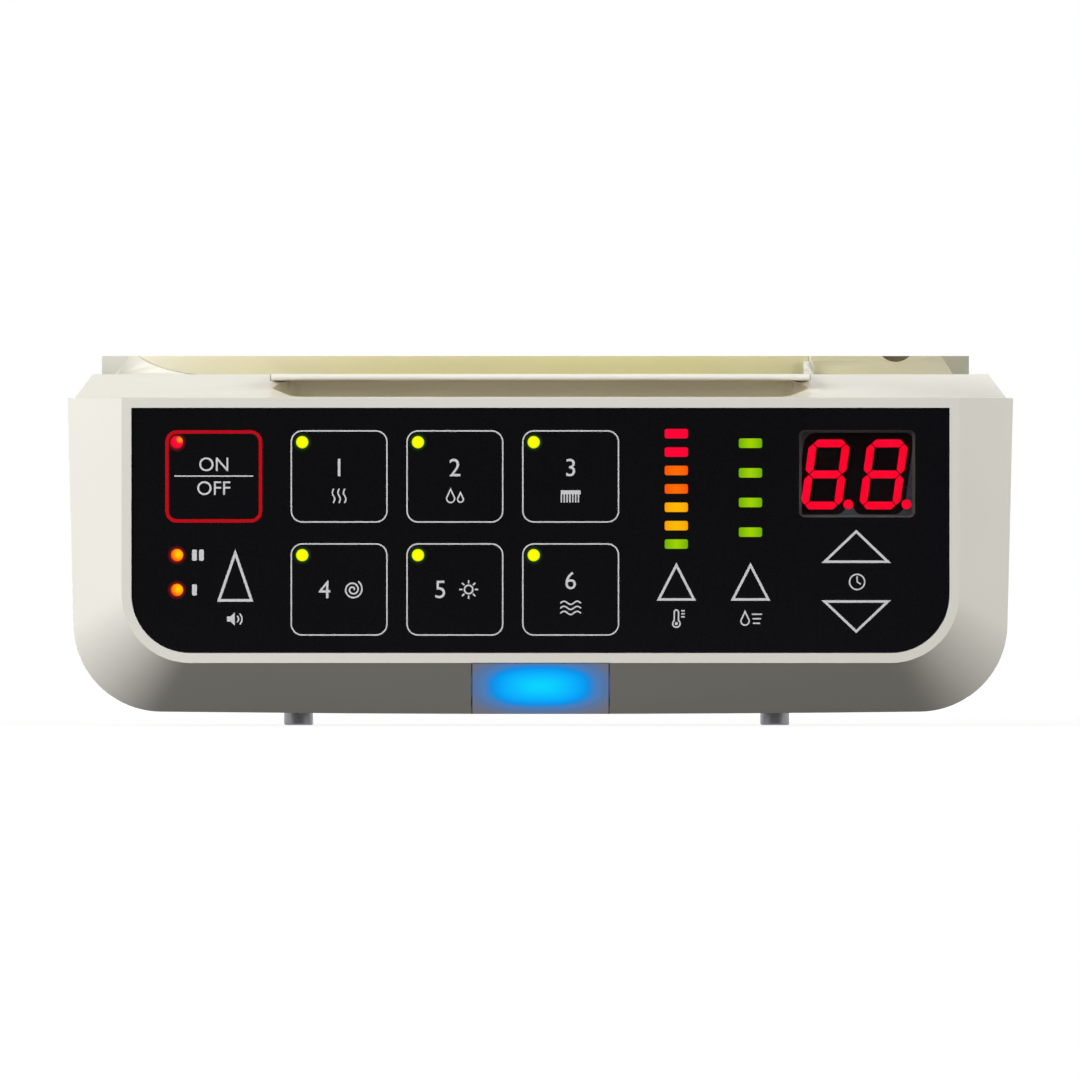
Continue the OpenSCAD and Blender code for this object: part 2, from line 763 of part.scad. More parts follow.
module controller_chip() {
    h = chip_w / 2;
    translate([mode_xs[1], 0, row_lower + 6]) {
        color("#1b1b1d") box_at(-h, h, board_back + 0.4, board_back + 2, -h, h);
        // rows of leads on all four sides
        color("#c9ccd0") for (turn = [0:90:270], i = [0:chip_leads - 1])
            rotate([0, turn, 0]) translate([(i - (chip_leads - 1) / 2) * lead_pitch, 0, h + 0.6])
                box_at(-lead_w / 2, lead_w / 2, board_back + fit, board_back + 1, -0.6, 0.6);
    }
}

module board_connector() {
    w = (connector_pins + 1.6) * pin_pitch;
    h = 2.5 * pin_pitch;
    back = board_back + connector_l;
    translate([(first_mode_x + 2 * key_pitch_x + mist_x) / 2 - 16, 0, row_lower - 2]) {
        color("#f2efe6") difference() {
            box_at(-w / 2, w / 2, board_back + fit, back, -h / 2, h / 2);
            box_at(1 - w / 2, w / 2 - 1, board_back + 2, back + 1, 1 - h / 2, h / 2 - 1);
        }
        color("#d8c27a") for (i = [0:connector_pins - 1])
            translate([(i - (connector_pins - 1) / 2) * pin_pitch, 0, 0])
                box_at(-pin_w / 2, pin_w / 2, board_back + 2 - tiny, back - 2, -pin_w / 2, pin_w / 2);
    }
}

module board_screws() {
    color("#b9bcc0") for (p = boss_places) pan_screw(p, board_back + fit, board_screw_l);
}

module carrier_screws() {
    color("#b9bcc0") for (s = [-1, 1], z = ear_zs) pan_screw([s * ear_x, z], ear_y1 + fit, carrier_screw_l);
}

// ---------- lamp ----------

module lamp_lens() {
    color([0.45, 0.62, 0.9, 0.9]) along_x(lamp_w) polygon(lamp_profile());
}

module lamp_reflector() {
    w = lamp_w - 4;
    color("#f4f4f2") difference() {
        along_x(w) polygon([
            [lamp_wall + 3.4, lamp_top - 0.4], [chamfer_depth - 0.2, base_z + lamp_wall + 1.3],
            [lamp_board_y - fit, base_z + lamp_wall + 1.3], [lamp_board_y - fit, lamp_top - 0.4]
        ]);
        along_x(w - 2.4) polygon([
            [lamp_wall, lamp_top - 1.4], [chamfer_depth - 2, base_z + 1],
            [lamp_board_y + 1, base_z + 1], [lamp_board_y + 1, lamp_top - 1.4]
        ]);
    }
}

module lamp_board() {
    color("#1f6b45") box_at(-lamp_w / 2 + 1.4, lamp_w / 2 - 1.4, lamp_board_y, lamp_board_y + 1,
        base_z + lamp_wall + 1.2, lamp_top - 0.2);
}

module lamp_leds() {
    z = base_z + lamp_wall + 4.2;
    color("#eaf6ff") for (x = [-led_pitch, 0, led_pitch])
        box_at(x - 1.6, x + 1.6, lamp_board_y - 1.2, lamp_board_y - fit, z - 1.4, z + 1.4);
}

// ---------- housing ----------

module front_seal() {
    color("#2b2b2b") along_y(bezel_depth + tiny, body_y0 - tiny) difference() {
        polygon(unit_outline(body_step + 0.3, bezel_top - 0.4));
        polygon(unit_outline(body_step + shell_wall, bezel_top - shell_wall));
    }
}

// Front view of the housing: the sides lean in above the bezel
module body_shape(inset) {
    top_x = bezel_w / 2 - body_step - deck_lean - inset;
    p = unit_outline(body_step + inset, deck_z0);
    below = [for (i = [1:len(p) - 1]) p[i]];
    polygon(concat([[top_x, deck_z1 - inset], [-top_x, deck_z1 - inset]], below, [p[0]]));
}

module deck_profile(inset) {
    polygon([
        [0, -1], [0, deck_z0 - inset], [body_y0, deck_z0 - inset],
        [body_y0 + deck_slope, deck_z1 - inset], [unit_depth + 1, deck_z1 - inset], [unit_depth + 1, -1]
    ]);
}

module body_solid(y0, y1, inset) {
    intersection() {
        along_y(y0, y1) body_shape(inset);
        along_x(bezel_w + 10) deck_profile(inset);
    }
}

// Raised seat with slanted front corners
module seat_solid(inset, y1) {
    w = seat_w / 2 - inset;
    y0 = seat_depth + inset;
    hull() {
        for (p = [[deck_z1 - 1 - inset, seat_corner_low], [seat_z - tiny - inset, seat_corner_high]])
            translate([0, front_y, p[0]]) linear_extrude(tiny)
                polygon([for (s = [-1, 1], q = s < 0
                    ? [[w, y1], [w, y0 + p[1][1]], [w - p[1][0], y0]]
                    : [[w - p[1][0], y0], [w, y0 + p[1][1]], [w, y1]]) [seat_x + s * q[0], q[1]]]);
    }
}

// Round recess along the lip of the lid, with ends that taper out under the ends of the lip
module scoop(grow) {
    r = scoop_r + grow;
    half = lid_w / 2 + grow;
    translate([lid_x, front_y + scoop_y, deck_z1 - scoop_drop]) rotate([0, 90, 0])
        rotate_extrude($fn = 64) polygon([
            [0, -half], [1, -half], [r, scoop_taper - half],
            [r, half - scoop_taper], [1, half], [0, half]
        ]);
}

module liner_shape(grow) {
    n = 10;
    start = asin((liner_corner[1] - seat_rise - 1) / liner_corner[1]);
    polygon(concat(
        [for (i = [0:n]) let (a = start + i * (90 - start) / n) [
            liner_x0 - (liner_corner[0] + grow) * cos(a),
            deck_z1 + liner_corner[1] - (liner_corner[1] + grow) * sin(a)
        ]],
        [[liner_x1 + grow, deck_z1 - grow], [liner_x1 + grow, seat_z + 1]]
    ));
}

// Cylinder along the hinge, from x outwards on one side of the lid
module hinge_bar(s, x, d, l) {
    translate([lid_x + s * x, front_y + hinge_depth, hinge_z]) rotate([0, s * 90, 0])
        cylinder(d = d, h = l);
}

// Box across the middle of the lid, reaching as far on both sides
module lid_box(half, y0, y1, z0, z1) {
    box_at(lid_x - half, lid_x + half, y0, y1, z0, z1);
}

// Box beside the middle of the lid, on one side of it
module lid_side_box(s, x0, x1, y0, y1, z0, z1) {
    box_at(lid_x + min(s * x0, s * x1), lid_x + max(s * x0, s * x1), y0, y1, z0, z1);
}

module hinge_lugs() {
    for (s = [-1, 1], x = [pin_x0, knuckle_x0 + knuckle_l + loose]) {
        hinge_bar(s, x, 2 * lug_r, lug_w);
        lid_side_box(s, x, x + lug_w, hinge_depth - lug_r, hinge_depth + lug_r, trough_z - 1, hinge_z);
    }
}

// Trough that the knuckles and the back edge of the lid turn in
module hinge_trough() {
    difference() {
        lid_box(lid_w / 2 + lid_gap, trough_y0, trough_y1, trough_z, deck_z1 + 1);
        hinge_lugs();
    }
}

module main_housing() {
    color("#e9e7dd") difference() {
        union() {
            difference() {
                union() {
                    body_solid(body_y0, body_y1, 0);
                    seat_solid(0, body_y1);
                }
                body_solid(body_y0 - 1, body_y1 + 1, shell_wall);
                seat_solid(shell_wall, body_y1 + 1);
            }
            // walls under the scoop, the well and the hinge
            intersection() {
                union() {
                    scoop(inner_wall);
                    lid_box(well_w / 2 + inner_wall, well_y0 - inner_wall, well_y1 + inner_wall,
                        well_z - inner_wall, deck_z1);
                    lid_box(lid_w / 2 + lid_gap + inner_wall, trough_y0 - inner_wall,
                        seat_depth + shell_wall, trough_z - inner_wall, deck_z1);
                    lid_box(lid_w / 2 + inner_wall, scoop_y, trough_y1 + inner_wall,
                        lid_seat_z - inner_wall, deck_z1);
                }
                body_solid(body_y0, body_y1, 0);
            }
            // tabs that take the screws into the bezel
            for (s = [-1, 1], p = corner_screws) intersection() {
                side_box(s, p[0] - tab_reach, bezel_w / 2, body_y0, tab_y1,
                    p[1] > row_mid ? p[1] - tab_reach : 0, p[1] > row_mid ? deck_z1 : p[1] + tab_reach);
                body_solid(body_y0, body_y1, 0);
            }
            // bosses for the rear cover, tied to the side walls
            for (s = [-1, 1], p = cover_screws) {
                bar_y([s * p[0], p[1]], cover_boss_d, body_y1 - cover_boss_l, body_y1);
                intersection() {
                    side_box(s, p[0], bezel_w / 2, body_y1 - cover_boss_l, body_y1 - 2, p[1] - 1, p[1] + 1);
                    body_solid(body_y0, body_y1, 1);
                }
            }
            // post beside the lid
            box_at(post_x, post_x + post_w, seat_depth - post_t, seat_depth + liner_t,
                deck_z1 - 0.5, deck_z1 + post_h);
        }
        // scoop, well and the place where the lid lies
        scoop(0);
        lid_box(well_w / 2, well_y0, well_y1, well_z, deck_z1 + 1);
        lid_box(lid_w / 2 + lid_gap, lid_front - 1, lid_back + lid_gap, lid_seat_z, deck_z1 + 1);
        hinge_trough();
        for (s = [-1, 1]) {
            hinge_bar(s, pin_x0 - 0.2, pin_d + 0.02, pin_l + 0.4);
            for (p = corner_screws) bar_y([s * p[0], p[1]], screw_d + screw_gap, body_y0 - 1, tab_y1 + 1);
            for (p = cover_screws) bar_y([s * p[0], p[1]], pilot_d, body_y1 - cover_screw_l, body_y1 + 1);
        }
        at_studs() translate([0, 0, -1]) cylinder(d = stud_thread_d + 2 * loose, h = floor_z + 5);
        along_y(seat_depth - fit / 2, seat_depth + liner_t) liner_shape(0.1);
        bar_y([notch_x, notch_z], 2 * notch_r, seat_depth - 1, seat_depth + notch_len);
    }
}

module seat_liner() {
    color("#cfc590") intersection() {
        along_y(seat_depth, seat_depth + liner_t - fit) liner_shape(0);
        box_at(-seat_w, seat_w, seat_depth - 1, unit_depth, deck_z1, seat_z);
    }
}

module wire_grommet() {
    color("#5f553b") intersection() {
        difference() {
            bar_y([notch_x, notch_z], 2 * notch_r - 0.1, seat_depth + 0.3, seat_depth + notch_len - fit);
            bar_y([notch_x, notch_z + 0.2], 2 * notch_r - 2, seat_depth - 1, seat_depth + 3);
        }
        box_at(notch_x - notch_r, notch_x + notch_r, seat_depth, unit_depth, deck_z1, seat_z);
    }
}

// ---------- lid ----------

module service_lid() {
    half = lid_w / 2;
    color("#e8e6e0") difference() {
        union() {
            lid_box(half, lid_front + lid_t / 2, lid_back, deck_z1 - lid_t, deck_z1);
            // rounded lip
            translate([lid_x - half, front_y + lid_front + lid_t / 2, deck_z1 - lid_t / 2])
                rotate([0, 90, 0]) cylinder(d = lid_t, h = lid_w);
            for (s = [-1, 1]) {
                hinge_bar(s, knuckle_x0, knuckle_d, knuckle_l);
                lid_side_box(s, knuckle_x0, knuckle_x0 + knuckle_l, hinge_depth - 2, lid_back,
                    hinge_z, deck_z1 - lid_t + tiny);
            }
            // stiffening rib that drops into the well
            lid_box(well_w / 2 - 1, well_y0 + 0.6, well_y0 + 0.6 + lid_rib_t,
                deck_z1 - lid_t - lid_rib_h, deck_z1 - lid_t + tiny);
        }
        for (s = [-1, 1]) hinge_bar(s, knuckle_x0 - 1, pin_d + 0.12, knuckle_l + 2);
    }
}

module hinge_pins() {
    color("#c4c7cb") for (s = [-1, 1]) hinge_bar(s, pin_x0, pin_d, pin_l);
}

// ---------- fixings below ----------

module bezel_screws() {
    color("#b9bcc0") for (s = [-1, 1], p = corner_screws)
        pan_screw([s * p[0], p[1]], tab_y1 + fit, bezel_screw_l);
}

module at_studs() {
    for (s = [-1, 1]) translate([stud_x + s * stud_spacing / 2, front_y + stud_depth, 0]) children();
}

module mounting_studs() {
    land = base_z + body_step - 0.1;
    top = bracket_z + bracket_t + nut_h + 2;
    color("#b8bcc2") at_studs() {
        cylinder(d1 = stud_d - 2 * stud_chamfer, d2 = stud_d, h = stud_chamfer);
        translate([0, 0, stud_chamfer]) cylinder(d = stud_d, h = land - stud_chamfer);
        translate([0, 0, land - tiny]) cylinder(d = stud_thread_d, h = top - land);
    }
}

module stud_bracket() {
    length = stud_spacing + bracket_w + 6;
    color("#a9adb2") difference() {
        translate([stud_x, 0, 0]) difference() {
            box_at(-length / 2, length / 2, stud_depth - bracket_w / 2, stud_depth + bracket_w / 2,
                bracket_z, bracket_z + bracket_t);
            // weight is saved by two slots between the studs
            for (s = [-1, 1]) side_box(s, stud_spacing / 8, 3 * stud_spacing / 8,
                stud_depth - bracket_w / 6, stud_depth + bracket_w / 6, 0, 20);
        }
        at_studs() cylinder(d = stud_thread_d + 0.2, h = 20);
    }
}

module stud_nuts() {
    z0 = bracket_z + bracket_t + fit;
    color("#c9ccd0") at_studs() difference() {
        translate([0, 0, z0]) cylinder(d = nut_af / cos(30), h = nut_h, $fn = 6);
        translate([0, 0, z0 - 1]) cylinder(d = stud_thread_d + 0.1, h = nut_h + 2);
    }
}

// ---------- rear cover ----------

module insert_places() {
    for (sx = [-1, 1], sz = [-1, 1])
        translate([sx * insert_spacing_x / 2, 0, insert_z + sz * insert_spacing_z / 2]) children();
}

module rear_cover() {
    color("#e4e2d9") difference() {
        union() {
            body_solid(body_y1 + fit, unit_depth, 0);
            intersection() {
                seat_solid(0, unit_depth);
                box_at(-seat_w, seat_w, body_y1 + fit, unit_depth, 0, seat_z);
            }
            // locating lip that enters the housing
            difference() {
                body_solid(body_y1 - 2.5, body_y1 + 1, shell_wall + 0.3);
                body_solid(body_y1 - 3, body_y1 + fit, shell_wall + 1.8);
                for (s = [-1, 1], p = cover_screws)
                    side_box(s, p[0] - 5, bezel_w / 2, body_y1 - 4, body_y1 + fit, p[1] - 5, p[1] + 5);
            }
            insert_places() bar_y([0, 0], insert_boss_d, unit_depth - insert_l - 1, unit_depth - 1);
        }
        insert_places() {
            bar_y([0, 0], insert_d, unit_depth - insert_l - fit, unit_depth + 1);
            bar_y([0, 0], insert_bore_d + 0.4, unit_depth - insert_l - 5, unit_depth + 1);
        }
        bar_y([0, harness_z], harness_d + 2 * grommet_wall, body_y1 - 10, unit_depth + 1);
        for (s = [-1, 1], p = cover_screws) {
            bar_y([s * p[0], p[1]], screw_d + screw_gap, body_y1 - 1, unit_depth + 1);
            bar_y([s * p[0], p[1]], 2 * screw_d + 2 * loose, unit_depth - head_depth, unit_depth + 1);
        }
        // vent slots on both sides of the harness opening
        for (s = [-1, 1], i = [0:vents_per_side - 1]) along_y(body_y1 - 4, unit_depth + 1)
            translate([s * (first_vent_x + i * vent_pitch), insert_z + 2]) {
                square([vent_w, vent_h], center = true);
                for (e = [-1, 1]) translate([0, e * vent_h / 2]) circle(d = vent_w);
            }
    }
}

module threaded_inserts() {
    y0 = unit_depth - insert_l;
    color("#c8a55a") insert_places() difference() {
        bar_y([0, 0], insert_d - 0.02, y0, unit_depth - 0.3);
        bar_y([0, 0], insert_bore_d, y0 - 1, unit_depth + 1);
        // two grooves that the plastic flows into
        for (y = [0.3, 0.62]) difference() {
            bar_y([0, 0], insert_d + 1, y0 + y * insert_l, y0 + y * insert_l + 0.6);
            bar_y([0, 0], insert_d - 0.8, y0, unit_depth);
        }
    }
}

module harness_grommet() {
    at = [0, harness_z];
    outer = harness_d + 2 * grommet_wall;
    color("#222224") difference() {
        union() {
            bar_y(at, outer - 2 * fit, body_y1 - 1.6, unit_depth - 2 * fit);
            bar_y(at, outer + 3.4, body_y1 - 1.7, body_y1 - fit);
        }
        bar_y(at, harness_d, body_y1 - 5, unit_depth + 1);
    }
}

module cover_screws_set() {
    color("#b9bcc0") for (s = [-1, 1], p = cover_screws)
        pan_screw([s * p[0], p[1]], unit_depth - head_depth + fit, cover_screw_l);
}

front_bezel();
overlay_film();
display_window();
key_carrier();
key(start_place, true);  // start_key
key(mode_place(1), true);  // mode_key_1
key(mode_place(2), true);  // mode_key_2
key(mode_place(3), true);  // mode_key_3
key(mode_place(4), true);  // mode_key_4
key(mode_place(5), true);  // mode_key_5
key(mode_place(6), true);  // mode_key_6
key(volume_place, false);  // volume_key
key(temperature_place, false);  // temperature_key
key(mist_place, false);  // mist_key
key(time_up_place, false);  // time_up_key
key(time_down_place, false);  // time_down_key
switch_button(start_place);  // start_switch_button
switch_button(mode_place(1));  // mode_switch_button_1
switch_button(mode_place(2));  // mode_switch_button_2
switch_button(mode_place(3));  // mode_switch_button_3
switch_button(mode_place(4));  // mode_switch_button_4
switch_button(mode_place(5));  // mode_switch_button_5
switch_button(mode_place(6));  // mode_switch_button_6
switch_button(volume_place);  // volume_switch_button
switch_button(temperature_place);  // temperature_switch_button
switch_button(mist_place);  // mist_switch_button
switch_button(time_up_place);  // time_up_switch_button
switch_button(time_down_place);  // time_down_switch_button
switch_bodies();
main_board();
display_module();
start_light();
mode_lights();
volume_lights();
temperature_lights();
mist_lights();
buzzer();
controller_chip();
board_connector();
board_screws();
carrier_screws();
lamp_lens();
lamp_reflector();
lamp_board();
lamp_leds();
front_seal();
main_housing();
seat_liner();
wire_grommet();
service_lid();
hinge_pins();
bezel_screws();
mounting_studs();
stud_bracket();
stud_nuts();
rear_cover();
threaded_inserts();
harness_grommet();
cover_screws_set();  // cover_screws
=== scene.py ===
# Control unit of a salon hood dryer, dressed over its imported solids
import json
import math
import bmesh
import bpy
from mathutils import Matrix, Vector


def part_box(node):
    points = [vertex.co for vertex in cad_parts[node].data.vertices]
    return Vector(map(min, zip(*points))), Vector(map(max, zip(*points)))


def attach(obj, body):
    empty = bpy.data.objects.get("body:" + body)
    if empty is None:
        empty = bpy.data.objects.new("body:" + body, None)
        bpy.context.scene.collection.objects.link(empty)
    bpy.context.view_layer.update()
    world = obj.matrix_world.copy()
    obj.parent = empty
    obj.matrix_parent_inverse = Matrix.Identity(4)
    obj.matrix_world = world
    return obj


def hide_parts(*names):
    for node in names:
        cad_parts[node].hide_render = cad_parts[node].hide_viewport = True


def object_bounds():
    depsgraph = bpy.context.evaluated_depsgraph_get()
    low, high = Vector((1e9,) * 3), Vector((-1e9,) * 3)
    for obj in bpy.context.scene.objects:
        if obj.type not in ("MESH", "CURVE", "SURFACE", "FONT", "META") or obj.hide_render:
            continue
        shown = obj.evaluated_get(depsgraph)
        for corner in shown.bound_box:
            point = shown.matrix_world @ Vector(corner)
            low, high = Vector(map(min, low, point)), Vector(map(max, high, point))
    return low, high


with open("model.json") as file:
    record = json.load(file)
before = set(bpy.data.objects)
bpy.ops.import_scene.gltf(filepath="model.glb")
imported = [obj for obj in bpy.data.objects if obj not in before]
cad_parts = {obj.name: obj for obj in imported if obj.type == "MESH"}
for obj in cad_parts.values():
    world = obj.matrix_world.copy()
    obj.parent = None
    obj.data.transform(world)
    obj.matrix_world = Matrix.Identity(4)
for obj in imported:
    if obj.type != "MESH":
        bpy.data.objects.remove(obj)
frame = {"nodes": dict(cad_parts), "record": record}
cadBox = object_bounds()
scene = bpy.context.scene
cadNodes = frame["nodes"]
mm = 0.001


# colours and nodes

def linear(hexColour):
    channels = [int(hexColour[i:i + 2], 16) / 255 for i in (0, 2, 4)]
    return [c / 12.92 if c <= 0.04045 else ((c + 0.055) / 1.055) ** 2.4 for c in channels] + [1]


def setRamp(ramp, stops):
    while len(ramp.elements) > 1:
        ramp.elements.remove(ramp.elements[-1])
    for i, (place, colour) in enumerate(stops):
        stop = ramp.elements[0] if i == 0 else ramp.elements.new(place)
        stop.position = place
        stop.color = linear(colour)


# A node given as a value stands for its first output
def feed(node, inputs):
    for socket, value in inputs.items():
        if isinstance(value, bpy.types.Node):
            value = value.outputs[0]
        if isinstance(value, bpy.types.NodeSocket):
            node.id_data.links.new(value, node.inputs[socket])
        else:
            node.inputs[socket].default_value = value


# Shader nodes are named without their prefix
def addNode(tree, kind, inputs=None, stops=None, **settings):
    node = tree.nodes.new(kind if "Node" in kind else "ShaderNode" + kind)
    for name, value in settings.items():
        setattr(node, name, value)
    if stops:
        setRamp(node.color_ramp, stops)
    feed(node, inputs or {})
    return node


# Uniform values go straight on the shader; a pattern follows the object, or an attribute of its mesh
def startMaterial(name, colour, attribute=None, **sockets):
    material = bpy.data.materials.new(name)
    material.use_nodes = True
    tree = material.node_tree
    shader = tree.nodes["Principled BSDF"]
    feed(shader, {"Base Color": linear(colour)})
    feed(shader, {socket.replace("_", " "): value for socket, value in sockets.items()})
    if attribute:
        where = addNode(tree, "Attribute", attribute_name=attribute).outputs["Vector"]
    else:
        where = addNode(tree, "TexCoord").outputs["Object"]
    return material, tree, shader, where


# Inputs of a noise from the size of its grain in millimetres
def grainOf(where, size, detail):
    return {"Vector": where, "Scale": 1 / (size * mm), "Detail": detail}


# Fine grain varies the gloss and raises the surface a little; depth in millimetres
def grainFinish(tree, grain, gloss, strength, depth, contrast=(0.0, 1.0)):
    varied = addNode(tree, "MapRange", {"Value": grain, "From Min": contrast[0], "From Max": contrast[1],
                                                  "To Min": gloss[0], "To Max": gloss[1]})
    raised = addNode(tree, "Bump", {"Height": grain, "Strength": strength, "Distance": depth * mm})
    return {"Roughness": varied, "Normal": raised}


# ABS, moulded in a spark-eroded tool: satin, with a fine even grain and the faint flow shades of a big shell
def satinAbs(name, colour, flowColour, roughness=0.42, sheen=0.3):
    grainMm, flowMm = 0.3, 55  # the real grain is 0.05 mm and too fine to show, so it is drawn coarser
    material, tree, shader, where = startMaterial(name, colour, IOR=1.53, Specular_IOR_Level=sheen)
    grain = addNode(tree, "TexNoise",
                    {**grainOf(where, grainMm, 2.0), "Roughness": 0.6})
    flow = addNode(tree, "TexNoise", grainOf(where, flowMm, 2.0))
    shade = addNode(tree, "ValToRGB", {"Fac": flow}, stops=[(0.3, colour), (0.75, flowColour)])
    feed(shader, {"Base Color": shade,
                  **grainFinish(tree, grain, (roughness - 0.05, roughness + 0.06), 0.12, 0.02, (0.3, 0.7))})
    return material


# Painted shade on the ABS: a warmer, darker tint standing in for shade and warm bounce light in hollows; each
# patch has soft limits along the axes, in millimetres
def yellowWhere(material, patches):
    tree = material.node_tree
    base = tree.nodes["Principled BSDF"].inputs["Base Color"]
    where = addNode(tree, "TexCoord").outputs["Object"]
    parts = addNode(tree, "SeparateXYZ", {"Vector": where}).outputs
    for limits, along, stops in patches:
        mask = addNode(tree, "Value").outputs[0]
        mask.default_value = 1.0
        for axis, outside, inside in limits:
            side = addNode(tree, "MapRange",
                           {"Value": parts[axis], "From Min": outside * mm, "From Max": inside * mm})
            mask = addNode(tree, "Math", {0: mask, 1: side}, operation="MULTIPLY")
        place = addNode(tree, "MapRange",
                        {"Value": parts["X"], "From Min": along[0] * mm, "From Max": along[1] * mm})
        paintedShadeTone = addNode(tree, "ValToRGB", {"Fac": place}, stops=stops)
        mixed = addNode(tree, "Mix", {0: mask, 6: base.links[0].from_socket, 7: paintedShadeTone}, data_type="RGBA")
        tree.links.new(mixed.outputs[2], base)


# Screen-printed ink: matt, dense, with the faint mesh of the screen in it
def screenInk(name, colour, thinColour, ior):
    material, tree, shader, where = startMaterial(name, colour, Roughness=0.55, IOR=ior)
    density = addNode(tree, "TexNoise", grainOf(where, 0.5, 2.0))
    tone = addNode(tree, "ValToRGB", {"Fac": density}, stops=[(0.35, thinColour), (0.6, colour)])
    feed(shader, {"Base Color": tone})
    return material


# Cast epoxy of a light, lit from inside: bright in the middle and deeper in colour towards its edge
def litEpoxy(name, stops, hotSpot=(0, 0), reach=(1, 1)):
    material, tree, shader, where = startMaterial(name, "000000", attribute="lensPlace",
                                                  Roughness=0.2, IOR=1.4, Emission_Strength=1.0)
    moved = addNode(tree, "VectorMath", {0: where, 1: (*hotSpot, 0)}, operation="SUBTRACT")
    scaled = addNode(tree, "VectorMath", {0: moved, 1: (*reach, 0)}, operation="MULTIPLY")
    radius = addNode(tree, "VectorMath", {0: scaled}, operation="LENGTH").outputs["Value"]
    feed(shader, {"Emission Color": addNode(tree, "ValToRGB", {"Fac": radius}, stops=stops)})
    return material


# Steel and brass, turned and polished or zinc plated: bright, with fine tool marks round it
def turnedMetal(name, colour, roughness):
    markMm = 0.12
    material, tree, shader, where = startMaterial(name, colour, Metallic=1.0)
    drawnOut = addNode(tree, "Mapping", {"Vector": where, "Scale": (0.15, 0.15, 1.0)})
    toolMarks = addNode(tree, "TexNoise", grainOf(drawnOut, markMm, 3.0))
    feed(shader, grainFinish(tree, toolMarks, (roughness - 0.06, roughness + 0.08), 0.08, 0.01))
    return material


# Small mouldings, boards and rubbers of the inside: matt with a fine grain
def plainMoulding(name, colour, speckColour, speckMm=0.4, roughness=0.55):
    material, tree, shader, where = startMaterial(name, colour, IOR=1.5)
    speck = addNode(tree, "TexNoise", grainOf(where, speckMm, 3.0))
    tone = addNode(tree, "ValToRGB", {"Fac": speck}, stops=[(0.35, colour), (0.7, speckColour)])
    feed(shader, {"Base Color": tone,
                  **grainFinish(tree, speck, (roughness - 0.08, roughness + 0.08), 0.1, 0.02)})
    return material


# flat shapes, as lists of points in millimetres

def arcPoints(centre, radius, start, stop, steps):
    angles = [math.radians(start + (stop - start) * i / steps) for i in range(steps + 1)]
    return [(centre[0] + radius * math.cos(a), centre[1] + radius * math.sin(a)) for a in angles]


def roundedLoop(x, z, width, height, radius, steps=8):
    dx = width / 2 - radius
    dz = height / 2 - radius
    loop = []
    for sx, sz, start in ((1, 1, 0), (-1, 1, 90), (-1, -1, 180), (1, -1, 270)):
        loop += arcPoints((x + sx * dx, z + sz * dz), radius, start, start + 90, steps)
    return loop


def discLoop(x, z, radius, steps=32):
    return arcPoints((x, z), radius, 0, 360, steps)[:-1]


def offsetLoop(points, distance):
    moved = []
    for i, here in enumerate(points):
        here = Vector(here)
        a = (here - Vector(points[i - 1])).normalized()
        b = (Vector(points[(i + 1) % len(points)]) - here).normalized()
        sideA = Vector((a.y, -a.x))
        mitre = (sideA + Vector((b.y, -b.x))).normalized()
        moved.append(tuple(here + mitre * distance / mitre.dot(sideA)))
    return moved


def ringLoops(points, width):
    return [offsetLoop(points, width / 2), offsetLoop(points, -width / 2)]


# A line of one width with round ends
def strokeLoop(points, width):
    sides = []
    for i in range(len(points)):
        before = Vector(points[max(i - 1, 0)])
        after = Vector(points[min(i + 1, len(points) - 1)])
        along = (after - before).normalized()
        sides.append(Vector((along.y, -along.x)) * width / 2)
    right = [tuple(Vector(p) + s) for p, s in zip(points, sides)]
    left = [tuple(Vector(p) - s) for p, s in zip(points, sides)]
    endAngle = math.degrees(math.atan2(sides[-1].y, sides[-1].x))
    startAngle = math.degrees(math.atan2(-sides[0].y, -sides[0].x))
    endCap = arcPoints(points[-1], width / 2, endAngle, endAngle + 180, 5)
    startCap = arcPoints(points[0], width / 2, startAngle, startAngle + 180, 5)
    return right[:-1] + endCap + left[::-1][1:-1] + startCap[:-1]


def placed(loops, x, z, scale=1, lean=0):
    return [[(x + px * scale + pz * lean, z + pz * scale) for px, pz in loop] for loop in loops]


# meshes

def link(name, data):
    piece = bpy.data.objects.new(name, data)
    scene.collection.objects.link(piece)
    return piece


def evaluatedMesh(source):
    bpy.context.view_layer.update()
    mesh = bpy.data.meshes.new_from_object(source.evaluated_get(bpy.context.evaluated_depsgraph_get()))
    bpy.data.objects.remove(source)
    return mesh


def meshFrom(build, name):
    mesh = bpy.data.meshes.new(name)
    build.to_mesh(mesh)
    build.free()
    return mesh


# Front view, x and z, to the row frame: the front of the plate faces the user
def standUp(mesh, front, back):
    upright = Matrix.Rotation(math.radians(90), 4, "X")
    mesh.transform(Matrix.Translation((0, (front + back) / 2 * mm, 0)) @ upright)
    return mesh


def plateMesh(loops, front, back):
    curve = bpy.data.curves.new("outline", "CURVE")
    curve.dimensions = "2D"
    curve.fill_mode = "BOTH"
    curve.extrude = (back - front) / 2 * mm
    for loop in loops:
        spline = curve.splines.new("POLY")
        spline.points.add(len(loop) - 1)
        for point, (x, z) in zip(spline.points, loop):
            point.co = (x * mm, z * mm, 0, 1)
        spline.use_cyclic_u = True
    return standUp(evaluatedMesh(link("outline", curve)), front, back)


def wordMesh(word, x, z, height, front, back):
    text = bpy.data.curves.new("word", "FONT")
    text.body = word
    text.extrude = (back - front) / 2 * mm
    text.resolution_u = 6
    mesh = evaluatedMesh(link("word", text))
    xs = [v.co.x for v in mesh.vertices]
    zs = [v.co.y for v in mesh.vertices]
    scale = height * mm / (max(zs) - min(zs))
    mesh.transform(Matrix.Translation((x * mm, z * mm, 0)) @ Matrix.Diagonal((scale, scale, 1, 1))
                   @ Matrix.Translation((-(max(xs) + min(xs)) / 2, -(max(zs) + min(zs)) / 2, 0)))
    return standUp(mesh, front, back)


